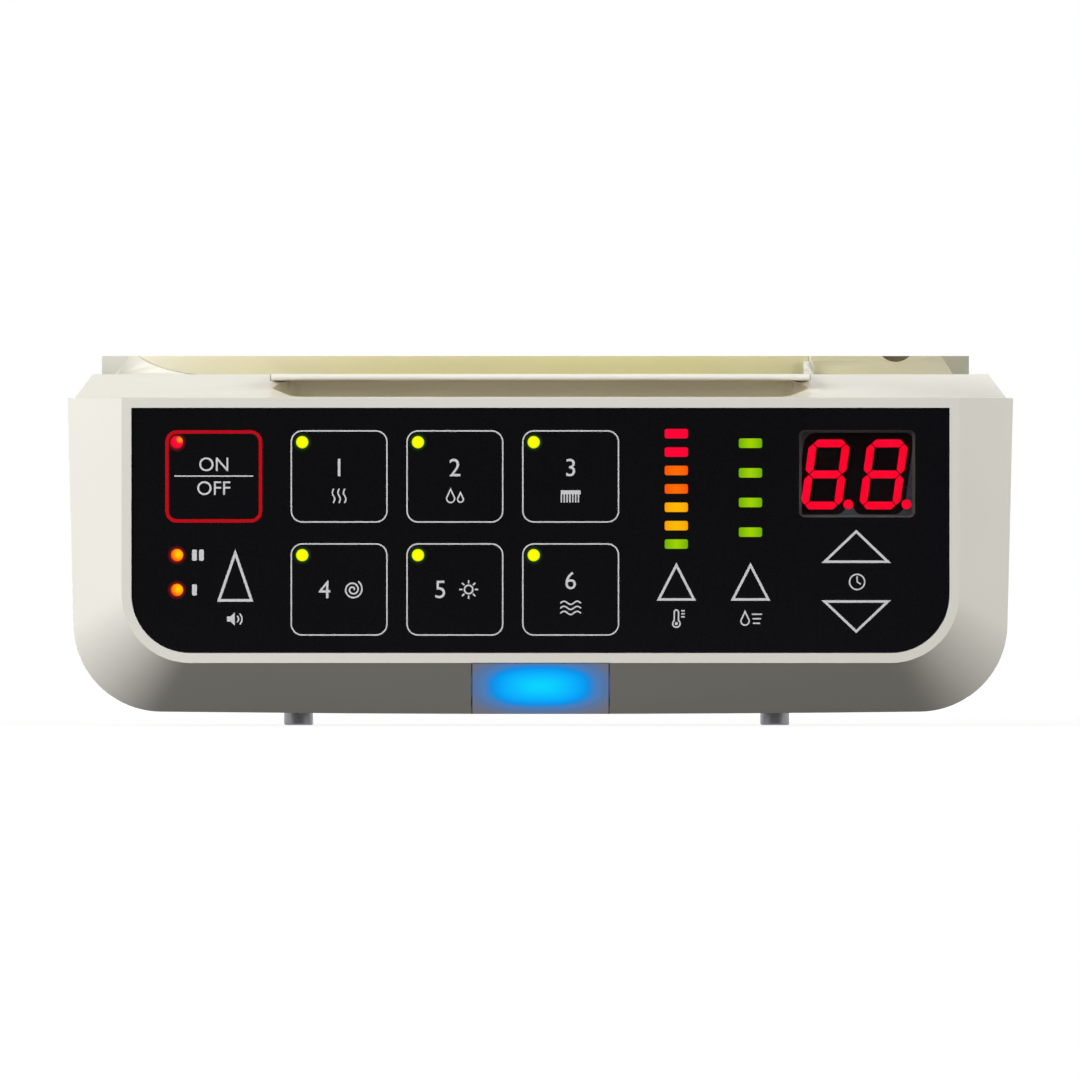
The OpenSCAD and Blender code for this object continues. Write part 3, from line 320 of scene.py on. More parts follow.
weld = 0.0005 * mm  # points of printed pieces that lie closer become one


def joinedMesh(name, meshes):
    build = bmesh.new()
    for mesh in meshes:
        build.from_mesh(mesh)
        bpy.data.meshes.remove(mesh)
    bmesh.ops.remove_doubles(build, verts=build.verts, dist=weld)
    bmesh.ops.recalc_face_normals(build, faces=build.faces)
    return meshFrom(build, name)


def finishPiece(piece, body, material, replaced=()):
    piece.data.materials.clear()
    piece.data.materials.append(material)
    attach(piece, body)
    if replaced:
        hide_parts(*replaced)


def plate(name, meshes, body, material, replaced=()):
    finishPiece(link(name, joinedMesh(name, meshes)), body, material, replaced)


def boxMm(node):
    low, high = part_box(node)
    return low / mm, high / mm


def middleXZ(node):
    low, high = boxMm(node)
    return (low.x + high.x) / 2, (low.z + high.z) / 2


# the camera; its distance, what it aims at and the width it sees are in millimetres

camera = {"distance": 10000, "azimuth": 0, "middle": (-0.1, 40.56), "viewWidth": 236.0, "sensor": 36}


def makeCamera():
    front = cadBox[0][1] / mm
    aim = Vector((camera["middle"][0], front, camera["middle"][1])) * mm
    turn = math.radians(camera["azimuth"])
    heading = Vector((-math.sin(turn), math.cos(turn), 0))
    data = bpy.data.cameras.new("viewCamera")
    data.sensor_width = camera["sensor"]
    data.lens = camera["sensor"] * camera["distance"] / camera["viewWidth"]
    data.clip_start = 0.05
    data.clip_end = 50
    holder = link("viewCamera", data)
    holder.location = aim - heading * camera["distance"] * mm
    holder.rotation_euler = heading.to_track_quat("-Z", "Y").to_euler()
    scene.camera = holder


makeCamera()
print("camera placed")


# keys: where they are and what shape, for the film, the marks and the lights

keys = {"names": ["start"] + ["mode_%d" % n for n in range(1, 7)]
        + ["volume", "temperature", "mist", "time_up", "time_down"],
        "flange": 0.8, "cornerRadius": 2.4, "smallCornerRadius": 1.5, "seam": 0.04,
        "line": 0.3, "startLine": 0.76, "dotInset": (2.38, 2.45),
        # how far the film over a key gives way to the pictogram under it
        "lift": {"volume": 2.4, "temperature": 2.3, "mist": 2.3}}
litKeys = keys["names"][:7]
patchGrow = keys["line"] / 2 + keys["seam"]


# Middle and size of a key, from the box of its cap, whose flange is wider than the key
def keyPlace(name):
    node = "mode_key_" + name[5:] if name.startswith("mode_") else name + "_key"
    low, high = boxMm(node)
    return (*middleXZ(node), high.x - low.x - 2 * keys["flange"], high.z - low.z - 2 * keys["flange"])


places = {name: keyPlace(name) for name in keys["names"]}


def keyLoop(name, grow):
    x, z, width, height = places[name]
    radius = keys["cornerRadius"] if name in litKeys else keys["smallCornerRadius"]
    return roundedLoop(x, z, width + 2 * grow, height + 2 * grow, radius + grow)


# The film over a key, smaller by its play
def patchLoop(name, play=0):
    x, z, width, height = places[name]
    lift, grow = keys["lift"].get(name, 0), patchGrow - play
    if not lift:
        return keyLoop(name, grow)
    return roundedLoop(x, z + lift / 2, width + 2 * grow, height - lift + 2 * grow,
                       keys["smallCornerRadius"] + grow)


def dotPlace(name):
    x, z, width, height = places[name]
    return x - width / 2 + keys["dotInset"][0], z + height / 2 - keys["dotInset"][1]


# light sizes in millimetres; each look runs from the middle of a light, 0, to its edge, 1

lights = {"dot": 2.7, "barWidth": 5.05, "barHeight": 2.05, "barCorner": 0.42, "barMargin": 0.35,
          "cornerPoints": 5, "dotPoints": 9,
          "red": {"stops": [(0.0, "FFA81E"), (0.3, "FF7A14"), (0.42, "FF1038"), (1.0, "F4002C")],
                  "hotSpot": (0.5, 0.4), "reach": (0.7, 0.7)},
          "yellowGreen": {"stops": [(0.0, "FFFF00"), (0.8, "FFFC00"), (1.0, "B4D800")]},
          "orange": {"stops": [(0.0, "FFD800"), (0.45, "FFB400"), (0.75, "FF7C00"), (1.0, "FF1E00")],
                     "hotSpot": (0.25, 0.15), "reach": (0.8, 0.8)},
          "greenBar": [(0.0, "A0D200"), (0.5, "8CC400"), (1.0, "6EAE00")],
          "amberBar": [(0.0, "FFB900"), (0.6, "FDB000"), (1.0, "FE9C00")],
          "orangeBar": [(0.0, "FF6E00"), (0.6, "FC6200"), (1.0, "FA5404")],
          "redBar": [(0.0, "FC0036"), (1.0, "FF0034")]}


def volumeDots():
    low, high = boxMm("volume_lights")
    half = (high.x - low.x) / 2
    x = (low.x + high.x) / 2
    return [(x, low.z + half), (x, high.z - half)]


def barPlaces(node, count):
    low, high = boxMm(node)
    edge = lights["barHeight"] / 2 + lights["barMargin"]
    step = (high.z - low.z - 2 * edge) / (count - 1)
    return [((low.x + high.x) / 2, low.z + edge + i * step) for i in range(count)]


temperaturePlaces = barPlaces("temperature_lights", 7)
mistPlaces = barPlaces("mist_lights", 4)


# overlay film, with a patch of it over each key, so that a press shows

film = {"cornerRadius": 12.65, "lightGap": 0.02, "inkThickness": 0.02, "windowGap": 0.02,
        "play": 0.03,  # room round the film over a key, so that it moves without rubbing
        "haloReach": (1.25, 2.3), "redHalo": "6C0606", "greenHalo": "123008"}
# the smoked window shows through the film, smaller than its own box by the trim
window = {"trim": (0.7, 0.98), "corner": 1.2, "tint": "B0B0B4"}

filmFront, filmBack = (corner.y for corner in boxMm("overlay_film"))
inkFront = filmFront - film["inkThickness"]
windowLow, windowHigh = boxMm("display_window")
windowX, windowZ = middleXZ("display_window")
windowSize = (windowHigh.x - windowLow.x - window["trim"][0], windowHigh.z - windowLow.z - window["trim"][1])


# Hard-coated polyester film, printed black on its back: deep black under a thin, even, slightly wavy gloss
def printedFilm(halos):
    material, tree, shader, where = startMaterial("printedPolyesterFilm", "08080B",
                                                  IOR=1.42, Emission_Strength=1.0)
    density = addNode(tree, "TexNoise", grainOf(where, 40, 3.0))
    tone = addNode(tree, "ValToRGB", {"Fac": density}, stops=[(0.3, "030306"), (0.7, "06060A")])
    coat = addNode(tree, "TexNoise", grainOf(where, 0.4, 1.0))
    # a little light of each round light creeps out under the film
    flat = addNode(tree, "VectorMath", {0: where, 1: (1, 0, 1)}, operation="MULTIPLY")
    near, far = film["haloReach"]
    total = None
    for x, z, glow in halos:
        away = addNode(tree, "VectorMath", {0: flat, 1: (x * mm, 0, z * mm)}, operation="DISTANCE")
        fade = addNode(tree, "MapRange", {"Value": away.outputs["Value"], "From Min": near * mm,
                                                    "From Max": far * mm, "To Min": 1.0, "To Max": 0.0},
                       interpolation_type="SMOOTHERSTEP")
        halo = addNode(tree, "VectorMath", {0: linear(glow)[:3], "Scale": fade}, operation="SCALE")
        total = halo if total is None else addNode(tree, "VectorMath", {0: total, 1: halo}, operation="ADD")
    feed(shader, {"Base Color": tone, "Emission Color": total,
                  **grainFinish(tree, coat, (0.24, 0.34), 0.05, 0.01)})
    return material


def makeFilm():
    keyDots = {name: dotPlace(name) for name in litKeys}
    halos = [(*place, film["redHalo"]) for place in volumeDots() + [keyDots["start"]]]
    halos += [(*keyDots[name], film["greenHalo"]) for name in litKeys[1:]]
    black = printedFilm(halos)

    def sheet(name, loops, body, replaced=()):
        plate(name, [plateMesh(loops, filmFront, filmBack)], body, black, replaced)

    low, high = boxMm("overlay_film")
    r = film["cornerRadius"]
    outline = [(high.x, high.z), (low.x, high.z)]
    outline += arcPoints((low.x + r, low.z + r), r, 180, 270, 24)
    outline += arcPoints((high.x - r, low.z + r), r, 270, 360, 24)
    grow, gap = film["lightGap"], film["windowGap"]
    dotRadius = lights["dot"] / 2 + grow
    loops = [outline] + [patchLoop(name) for name in keys["names"]]
    loops += [discLoop(x, z, dotRadius) for x, z in volumeDots()]
    loops += [roundedLoop(x, z, lights["barWidth"] + 2 * grow, lights["barHeight"] + 2 * grow,
                          lights["barCorner"] + grow, 4) for x, z in temperaturePlaces + mistPlaces]
    loops.append(roundedLoop(windowX, windowZ, windowSize[0] + 2 * gap, windowSize[1] + 2 * gap,
                             window["corner"] + gap))
    sheet("overlayFilm", loops, "unit", ["overlay_film"])
    for name in keys["names"]:
        loops = [patchLoop(name, film["play"])]
        if name in litKeys:
            loops.append(discLoop(*keyDots[name], dotRadius))
        sheet("filmOver_" + name, loops, name + "_push")


makeFilm()
print("film made:", len(keys["names"]), "key patches")


# printed marks; a pictogram is drawn in parts of its height, about its middle

marks = {"numberHeight": 3.83, "numberUp": 1.95, "iconHeight": 2.9, "iconDown": 4.25, "thin": 0.32,
         "wordHeight": 3.0, "wordUp": 2.65, "wordDown": 2.55,
         "divider": (17.3, 0.28, 0.13), "dividerUp": 0.08,
         # on keys 4 and 5 number and pictogram stand in one row, this far left and right
         "rowKeys": (4, 5), "rowNumber": -3.2, "rowIcon": 3.0, "rowLine": 1.1,
         # shift, base and tip from the middle of the key, the width, and the line's width
         "arrows": {"volume": (0.1, -3.37, 8.15, 7.95, 0.58), "temperature": (0, -1.55, 6.8, 8.6, 0.54),
                    "mist": (0, -1.55, 6.8, 8.65, 0.54), "time_up": (-0.2, -3.5, 3.75, 15.2, 0.54),
                    "time_down": (-0.2, 3.65, -3.55, 15.2, 0.54)},
         # the two volume levels: size and corner of a tally, and how far right of its light each stands
         "tally": (1.06, 2.45, 0.28), "tallyAcross": (3.84, 5.36),
         # height above the foot of the volume key, and size
         "labels": {"volume": (0.65, 3.4), "temperature": (0.75, 3.7), "mist": (0.7, 3.3)},
         "clockHeight": 3.6}


def triangleLoop(x, base, apex, width):
    corners = [(x - width / 2, base), (x + width / 2, base), (x, apex)]
    return corners if apex > base else corners[::-1]


def waveLine(count, height, side, x0=0.0, turned=False):
    points = [(x0 + side * math.sin(2 * math.pi * count * t / 24), -height / 2 + height * t / 24)
              for t in range(25)]
    return [(z, x) for x, z in points] if turned else points


def dropLoop(size, x, z=0.0):
    return arcPoints((x, z - 0.2 * size), 0.3 * size, -215, 35, 20) + [(x, z + 0.5 * size)]


def combLoop():
    teeth = 7
    step = 1.5 / teeth
    loop = [(-0.75, 0.42), (-0.75, -0.5)]
    for i in range(teeth):
        x = -0.75 + i * step
        loop += [(x + step * 0.5, -0.5), (x + step * 0.5, 0.12), (x + step, 0.12), (x + step, -0.5)]
    loop = loop[:-1] + [(0.75, 0.12), (0.75, 0.42)]
    return loop[::-1]


def curlLine():
    return [((0.08 + 0.42 * t / 40) * math.cos(0.3 * t), (0.08 + 0.42 * t / 40) * math.sin(0.3 * t))
            for t in range(46)]


def sunLoops(line):
    loops = ringLoops(discLoop(0, 0, 0.24, 24), line)
    for i in range(8):
        a = math.pi * i / 4
        loops.append(strokeLoop([(r * math.cos(a), r * math.sin(a)) for r in (0.38, 0.5)], line))
    return loops


def speakerLoops(line):
    horn = [(-0.5, -0.17), (-0.28, -0.17), (0.0, -0.42), (0.0, 0.42), (-0.28, 0.17), (-0.5, 0.17)]
    return [horn] + [strokeLoop(arcPoints((-0.02, 0), r, -42, 42, 10), line) for r in (0.26, 0.48)]


def thermometerLoops(line):
    stem = arcPoints((0, -0.3), 0.22, 125, 415, 20) + arcPoints((0, 0.38), 0.126, 0, 180, 8)
    ticks = [strokeLoop([(0.32, z), (0.46, z)], line) for z in (0.1, 0.28, 0.46)]
    return ringLoops(stem, line) + [discLoop(0, -0.3, 0.09, 16)] + ticks


def mistLoops(line):
    jets = [strokeLoop([(0.12 + 0.04 * i, z), (0.72 - 0.06 * i, z)], line)
            for i, z in enumerate((0.3, 0.0, -0.3))]
    return ringLoops(dropLoop(0.9, -0.36, 0.03), line) + jets


def clockLoops(line):
    hands = strokeLoop([(0.0, 0.3), (0.0, 0.0), (0.2, -0.12)], line)
    return ringLoops(discLoop(0, 0, 0.46, 36), line) + [hands]


def keyIcon(number, line):
    if number == 1:
        return [strokeLoop(waveLine(1, 1.0, 0.09, x), line) for x in (-0.42, 0.0, 0.42)]
    if number == 2:
        return ringLoops(dropLoop(1.0, -0.32), line) + ringLoops(dropLoop(0.72, 0.42, -0.12), line)
    if number == 3:
        return [combLoop()]
    if number == 4:
        return [strokeLoop(curlLine(), line)]
    if number == 5:
        return sunLoops(line)
    return [strokeLoop(waveLine(1.5, 1.5, 0.12, z, turned=True), line) for z in (-0.3, 0.08, 0.46)]


# The part of a mark above or below a height
def cutAcross(mesh, height, above):
    build = bmesh.new()
    build.from_mesh(mesh)
    bmesh.ops.remove_doubles(build, verts=build.verts, dist=weld)
    cut = bmesh.ops.bisect_plane(build, geom=build.verts[:] + build.edges[:] + build.faces[:],
                                 plane_co=(0, 0, height * mm), plane_no=(0, 0, 1),
                                 clear_inner=above, clear_outer=not above)
    rim = [part for part in cut["geom_cut"] if isinstance(part, bmesh.types.BMEdge)]
    bmesh.ops.holes_fill(build, edges=rim, sides=0)
    return meshFrom(build, "cutMark")


def makeMarks():
    silver = screenInk("silverScreenInk", "E2E2E8", "D8D8DE", ior=1.4)
    red = screenInk("redScreenInk", "CE0018", "C40014", ior=1.25)
    line = marks["thin"]

    def inked(loops):
        return plateMesh(loops, inkFront, filmFront)

    def word(text, x, z, height):
        return wordMesh(text, x, z, height, inkFront, filmFront)

    def iconAt(loopsOf, x, z, height, width=line):
        return inked(placed(loopsOf(width / height), x, z, height))

    def printed(name, meshes, body, ink=silver):
        plate(name, meshes, body, ink)

    x, z, _, _ = places["start"]
    thick = keys["startLine"]
    outline = keyLoop("start", (keys["line"] - thick) / 2)
    divider = roundedLoop(x, z + marks["dividerUp"], *marks["divider"], 2)
    printed("startOutline", [inked(ringLoops(outline, thick))], "start_push", red)
    printed("startWords", [word("ON", x, z + marks["wordUp"], marks["wordHeight"]),
                           word("OFF", x, z - marks["wordDown"], marks["wordHeight"]),
                           inked([divider])], "start_push")

    tall = marks["numberHeight"]
    for number in range(1, 7):
        name = "mode_%d" % number
        x, z, _, _ = places[name]
        if number in marks["rowKeys"]:
            numberPlace = (x + marks["rowNumber"], z)
            iconPlace = (x + marks["rowIcon"], z, tall, line * marks["rowLine"])
        else:
            numberPlace = (x, z + marks["numberUp"])
            iconPlace = (x, z - marks["iconDown"], marks["iconHeight"])
        printed("modeMarks_%d" % number,
                [inked(ringLoops(keyLoop(name, 0), keys["line"])), word(str(number), *numberPlace, tall),
                 iconAt(lambda w: keyIcon(number, w), *iconPlace)], name + "_push")

    # a triangle that is taller than the film over its key leaves its tip on the fixed film
    tips = []
    for name, (shift, base, apex, width, thick) in marks["arrows"].items():
        x, z, _, height = places[name]
        triangle = triangleLoop(x + shift, z + base, z + apex, width)
        arrow = inked(ringLoops(offsetLoop(triangle, -thick / 2), thick))
        if name in keys["lift"]:
            seam = z + height / 2 + patchGrow
            tips.append(cutAcross(arrow, seam, above=True))
            arrow = cutAcross(arrow, seam - film["play"], above=False)
        printed("arrow_" + name, [arrow], name + "_push")
    printed("arrowTips", tips, "unit")

    low, high = volumeDots()
    near, far = marks["tallyAcross"]
    printed("volumeLevelMarks", [inked([roundedLoop(low[0] + dx, z, *marks["tally"], 3)])
                                 for dx, z in ((near, low[1]), (near, high[1]), (far, high[1]))], "unit")
    foot = boxMm("volume_key")[0].z
    pictograms = {"volume": speakerLoops, "temperature": thermometerLoops, "mist": mistLoops}
    labels = [iconAt(pictograms[name], places[name][0], foot + up, size)
              for name, (up, size) in marks["labels"].items()]
    x, z, _, _ = places["time_up"]
    labels.append(iconAt(clockLoops, x, (z + places["time_down"][1]) / 2, marks["clockHeight"]))
    printed("panelPictograms", labels, "unit")


makeMarks()
print("marks printed")


# lights: one tree makes a grid of rounded lenses, each with its own lens coordinates

def lensTree():
    tree = bpy.data.node_groups.new("lensGrid", "GeometryNodeTree")
    for name, kind in (("Width", "Float"), ("Height", "Float"), ("Corner", "Float"), ("Corner Points", "Int"),
                       ("Length", "Float"), ("Columns", "Int"), ("Rows", "Int"),
                       ("Column Step", "Float"), ("Row Step", "Float"), ("First Lens", "Vector"),
                       ("Lens Material", "Material")):
        tree.interface.new_socket(name=name, in_out="INPUT", socket_type="NodeSocket" + kind)
    tree.interface.new_socket(name="Geometry", in_out="OUTPUT", socket_type="NodeSocketGeometry")
    given = addNode(tree, "NodeGroupInput").outputs
    outline = addNode(tree, "GeometryNodeCurvePrimitiveQuadrilateral",
                      {"Width": given["Width"], "Height": given["Height"]})
    fillet = addNode(tree, "GeometryNodeFilletCurve",
                     {"Curve": outline, "Count": given["Corner Points"], "Radius": given["Corner"]},
                     mode="POLY")
    face = addNode(tree, "GeometryNodeFillCurve", {"Curve": fillet}, mode="NGONS")
    tower = addNode(tree, "GeometryNodeExtrudeMesh",
                    {"Mesh": face, "Offset Scale": given["Length"], "Individual": False})
    solid = addNode(tree, "GeometryNodeJoinGeometry", {"Geometry": tower})
    feed(solid, {"Geometry": addNode(tree, "GeometryNodeFlipFaces", {"Mesh": face})})
    solid = addNode(tree, "GeometryNodeMergeByDistance", {"Geometry": solid, "Distance": 1e-6})
    # lens coordinates run from -1 to 1 across the lens, and hardly change along it
    size = addNode(tree, "CombineXYZ", {"X": given["Width"], "Y": given["Height"], "Z": 1e6})
    place = addNode(tree, "VectorMath",
                    {0: addNode(tree, "GeometryNodeInputPosition"), 1: size}, operation="DIVIDE")
    doubled = addNode(tree, "VectorMath", {0: place, "Scale": 2.0}, operation="SCALE")
    lens = addNode(tree, "GeometryNodeStoreNamedAttribute",
                   {"Geometry": solid, "Name": "lensPlace", "Value": doubled},
                   data_type="FLOAT_VECTOR", domain="POINT")
    columns = addNode(tree, "GeometryNodeMeshLine",
                      {"Count": given["Columns"], "Start Location": given["First Lens"],
                       "Offset": addNode(tree, "CombineXYZ", {"X": given["Column Step"]})})
    rows = addNode(tree, "GeometryNodeMeshLine",
                   {"Count": given["Rows"], "Offset": addNode(tree, "CombineXYZ", {"Z": given["Row Step"]})})
    grid = addNode(tree, "GeometryNodeInstanceOnPoints", {"Points": columns, "Instance": rows})
    points = addNode(tree, "GeometryNodeRealizeInstances", {"Geometry": grid})
    lenses = addNode(tree, "GeometryNodeInstanceOnPoints",
                     {"Points": points, "Instance": lens, "Rotation": (math.radians(90), 0, 0)})
    real = addNode(tree, "GeometryNodeRealizeInstances", {"Geometry": lenses})
    painted = addNode(tree, "GeometryNodeSetMaterial", {"Geometry": real, "Material": given["Lens Material"]})
    addNode(tree, "NodeGroupOutput", {"Geometry": painted})
    return tree


def growFromTree(name, tree, values):
    holder = link(name, bpy.data.meshes.new(name))
    modifier = holder.modifiers.new(name, "NODES")
    modifier.node_group = tree
    identifiers = {item.name: item.identifier for item in tree.interface.items_tree if item.in_out == "INPUT"}
    for socket, value in values.items():
        modifier[identifiers[socket]] = value
    return link(name, evaluatedMesh(holder))


def makeLights():
    tree = lensTree()
    back = boxMm("switch_bodies")[1].y

    # shape is the size, the corner radius and the corner points; grid is columns, rows and their steps
    def lenses(name, material, slot, node, shape, grid, first):
        (width, height), corner, cornerPoints = shape
        columns, rows, across, up = grid
        values = {"Width": width * mm, "Height": height * mm, "Corner": corner * mm,
                  "Corner Points": cornerPoints, "Length": (back - filmFront) * mm,
                  "Columns": columns, "Rows": rows, "Column Step": across * mm, "Row Step": up * mm,
                  "First Lens": (first[0] * mm, back * mm, first[1] * mm), "Lens Material": material}
        finishPiece(growFromTree(name, tree, values), "unit", material, [node])

    d = lights["dot"]
    dot = ((d, d), d * 0.4999, lights["dotPoints"])  # just short of a half, so that the corners don't meet
    bar = ((lights["barWidth"], lights["barHeight"]), lights["barCorner"], lights["cornerPoints"])
    lenses("startLight", litEpoxy("redLitEpoxy", **lights["red"]), "red_light", "start_light",
           dot, (1, 1, 0, 0), dotPlace("start"))
    first, last = dotPlace("mode_4"), dotPlace("mode_3")
    lenses("modeLights", litEpoxy("yellowGreenLitEpoxy", **lights["yellowGreen"]), "yellow_green_light",
           "mode_lights", dot, (3, 2, (last[0] - first[0]) / 2, last[1] - first[1]), first)
    low, high = volumeDots()
    lenses("volumeLights", litEpoxy("orangeLitEpoxy", **lights["orange"]), "orange_light", "volume_lights",
           dot, (1, 2, 0, high[1] - low[1]), low)
    step = temperaturePlaces[1][1] - temperaturePlaces[0][1]
    for name, start, count in (("greenBar", 0, 1), ("amberBar", 1, 2), ("orangeBar", 3, 2), ("redBar", 5, 2)):
        lenses(name, litEpoxy(name + "Epoxy", lights[name], reach=(1, 0)), "bar_light", "temperature_lights",
               bar, (1, count, 0, step), temperaturePlaces[start])
    lenses("mistBars", litEpoxy("greenLitEpoxy", lights["greenBar"], reach=(1, 0)), "green_light",
           "mist_lights", bar, (1, len(mistPlaces), 0, mistPlaces[1][1] - mistPlaces[0][1]), mistPlaces[0])


makeLights()
print("lights made")


# display: smoked window, and two digits of lit segments on the module behind it

display = {"digitHeight": 15.3, "digitWidth": 8.95, "segment": 1.72, "gap": 0.14, "pitch": 12.7,
           "lean": math.tan(math.radians(7.7)), "shift": (-0.54, -0.15),
           "point": 2.12, "pointShift": (0.5, 0.25),
           "segmentStrength": 2.4, "faceGrey": "95C0CC", "fieldGrow": (1.15, 1.25), "fieldCorner": 2.2,
           # how far each layer stands out of the module's face; it is sunk into it by half of that
           "proud": {"face": 0.02, "field": 0.04, "segments": 0.06}, "fieldStep": 0.002}


# Lit segment of the display: diffusing epoxy that glows evenly
def litSegment():
    material, tree, shader, where = startMaterial("litSegmentEpoxy", "100003", Roughness=0.5, IOR=1.52,
                                                  Emission_Strength=display["segmentStrength"])
    cloud = addNode(tree, "TexNoise", grainOf(where, 2.5, 1.0))
    glow = addNode(tree, "ValToRGB", {"Fac": cloud}, stops=[(0.3, "FF0026"), (0.7, "FF0430")])
    feed(shader, {"Emission Color": glow})
    return material


# Smoked acrylic, cast and polished: dark, clear and glossy
def smokedAcrylic():
    material, tree, shader, where = startMaterial("smokedAcrylic", window["tint"],
                                                  IOR=1.49, Transmission_Weight=1.0)
    haze = addNode(tree, "TexNoise", grainOf(where, 1.5, 2.0))
    feed(shader, {"Roughness": addNode(tree, "MapRange", {"Value": haze, "To Min": 0.02, "To Max": 0.07})})
    return material


# One digit about its middle, upright; each segment is a bar with pointed ends
def segmentLoops():
    halfWidth = (display["digitWidth"] - display["segment"]) / 2
    halfHeight = (display["digitHeight"] - display["segment"]) / 2
    gap, b = display["gap"], display["segment"] / 2

    def barLoop(a, c, side):
        return [(a, side), (a + b, side - b), (c - b, side - b),
                (c, side), (c - b, side + b), (a + b, side + b)]

    loops = [barLoop(-halfWidth + gap, halfWidth - gap, level) for level in (-halfHeight, 0, halfHeight)]
    for side in (-halfWidth, halfWidth):
        for foot in (-halfHeight, 0):
            upright = [(x, z) for z, x in barLoop(foot + gap, foot + halfHeight - gap, side)]
            loops.append(upright[:1] + upright[:0:-1])
    return loops


def makeDisplay():
    low, high = boxMm("display_module")
    x, z = windowX + display["shift"][0], windowZ + display["shift"][1]

    def layer(name, meshes, material):
        plate(name, meshes, "unit", material)

    def layerMesh(loops, kind, step=0):
        proud = display["proud"][kind]
        return plateMesh(loops, low.y - proud - step, low.y + proud / 2)

    loops = []
    pointX, pointZ = display["pointShift"]
    for side in (-0.5, 0.5):
        digitX = x + side * display["pitch"]
        loops += placed(segmentLoops(), digitX, z, lean=display["lean"])
        loops.append(discLoop(digitX + display["digitWidth"] / 2 + pointX,
                              z - (display["digitHeight"] - display["segment"]) / 2 + pointZ,
                              display["point"] / 2, 24))
    layer("displaySegments", [layerMesh(loops, "segments")], litSegment())
    # dark resin round the digits and, a little lower, between them, on a grey face
    fields = []
    growX, growZ = display["fieldGrow"]
    for i, (side, up) in enumerate(((-0.5, 0), (0.0, 1.0), (0.5, 0))):
        size = (display["digitWidth"] + 2 * growX, display["digitHeight"] + 2 * (growZ - up))
        loop = roundedLoop(0, up, *size, display["fieldCorner"])
        fields.append(layerMesh(placed([loop], x + side * display["pitch"], windowZ, lean=display["lean"]),
                                "field", display["fieldStep"] * i))
    layer("displayFields", fields,
          plainMoulding("darkDisplayResin", "241C22", "2A2026", 1.5, 0.6))
    border = roundedLoop(*middleXZ("display_module"), high.x - low.x, high.z - low.z, 0.3)
    layer("displayFace", [layerMesh([border], "face")],
          plainMoulding("greyDisplayFace", display["faceGrey"], "8BB4BF", 1.5, 0.6))
    pane = roundedLoop(windowX, windowZ, *windowSize, window["corner"])
    plate("displayWindow", [plateMesh([pane], windowLow.y, windowHigh.y)], "unit",
          smokedAcrylic(), ["display_window"])


makeDisplay()
print("display made")


# lamp: foam strips in the gaps at the lens's ends, cut to its outline

lamp = {"glowWide": 1.25, "glowHigh": 1.31, "glowUp": 0.55, "squareness": 2.6,
        "rim": 0.22,  # painted shade at the lens's ends, which dims their glow
        "sealWidth": 0.14, "sealBack": 0.3,
        "glow": [(0.0, "00D6FE"), (0.176, "00CAFE"), (0.336, "00B6FE"), (0.456, "00A4FA"), (0.52, "0098EE"),
                 (0.568, "0C8CE0"), (0.616, "3880C8"), (0.664, "4A7CB6"), (0.712, "5278AC"), (0.76, "5474A0"),
                 (0.84, "66708A"), (1.0, "6E6C70")],
        "leak": [(0.0, "06080A"), (0.3, "06080A"), (0.42, "0646A4"), (0.7, "0A4EB4"),
                 (0.84, "10161E"), (1.0, "101214")]}


# Frosted acrylic over blue lights: a soft oval glow that fades into cool grey towards the ends
def frostedLens():
    low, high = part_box("lamp_lens")
    centre = (low + high) / 2
    size = high - low
    material, tree, shader, where = startMaterial("frostedAcrylicLens", "08090C", Roughness=0.7, IOR=1.15,
                                                  Emission_Strength=1.0)
    acrossGlow, upGlow = 2 / (size.x * lamp["glowWide"]), 2 / (size.z * lamp["glowHigh"])
    glowPlace = addNode(tree, "Mapping", {
        "Vector": where, "Scale": (acrossGlow, 0, upGlow),
        "Location": (-centre.x * acrossGlow, 0, -(centre.z + lamp["glowUp"] * mm) * upGlow)})
    parts = addNode(tree, "SeparateXYZ", {"Vector": glowPlace}).outputs
    # a superellipse, flatter than an oval
    across, up = (addNode(tree, "Math", {0: parts[axis]}, operation="ABSOLUTE") for axis in ("X", "Z"))
    powers = [addNode(tree, "Math", {0: part, 1: lamp["squareness"]}, operation="POWER")
              for part in (across, up)]
    total = addNode(tree, "Math", {0: powers[0], 1: powers[1]}, operation="ADD")
    radius = addNode(tree, "Math", {0: total, 1: 1 / lamp["squareness"]}, operation="POWER")
    glow = addNode(tree, "ValToRGB", {"Fac": radius}, stops=lamp["glow"])
    # painted shade along the lens's two ends: the glow dims to a tenth at the very end
    end = 1 / lamp["glowWide"]
    rim = addNode(tree, "MapRange", {
        "Value": across, "From Min": end * (1 - 2 * lamp["rim"] * mm / size.x), "From Max": end,
        "To Min": 1.0, "To Max": 0.1})
    dimmed = addNode(tree, "VectorMath", {0: glow, "Scale": rim}, operation="SCALE")
    frost = addNode(tree, "TexNoise", grainOf(where, 0.25, 2.0))
    raised = addNode(tree, "Bump", {"Height": frost, "Strength": 0.1, "Distance": 0.02 * mm})
    feed(shader, {"Emission Color": dimmed, "Normal": raised})
    return material


# Light seal at the lens's ends: black foam, with some of the blue light creeping along it
def lensFoam():
    low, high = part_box("lamp_lens")
    material, tree, shader, where = startMaterial("lensFoam", "0C0C0D",
                                                  Roughness=0.9, IOR=1.2, Emission_Strength=1.0)
    height = addNode(tree, "SeparateXYZ", {"Vector": where}).outputs["Z"]
    up = addNode(tree, "MapRange", {"Value": height, "From Min": low.z, "From Max": high.z})
    feed(shader, {"Emission Color": addNode(tree, "ValToRGB", {"Fac": up}, stops=lamp["leak"])})
    return material


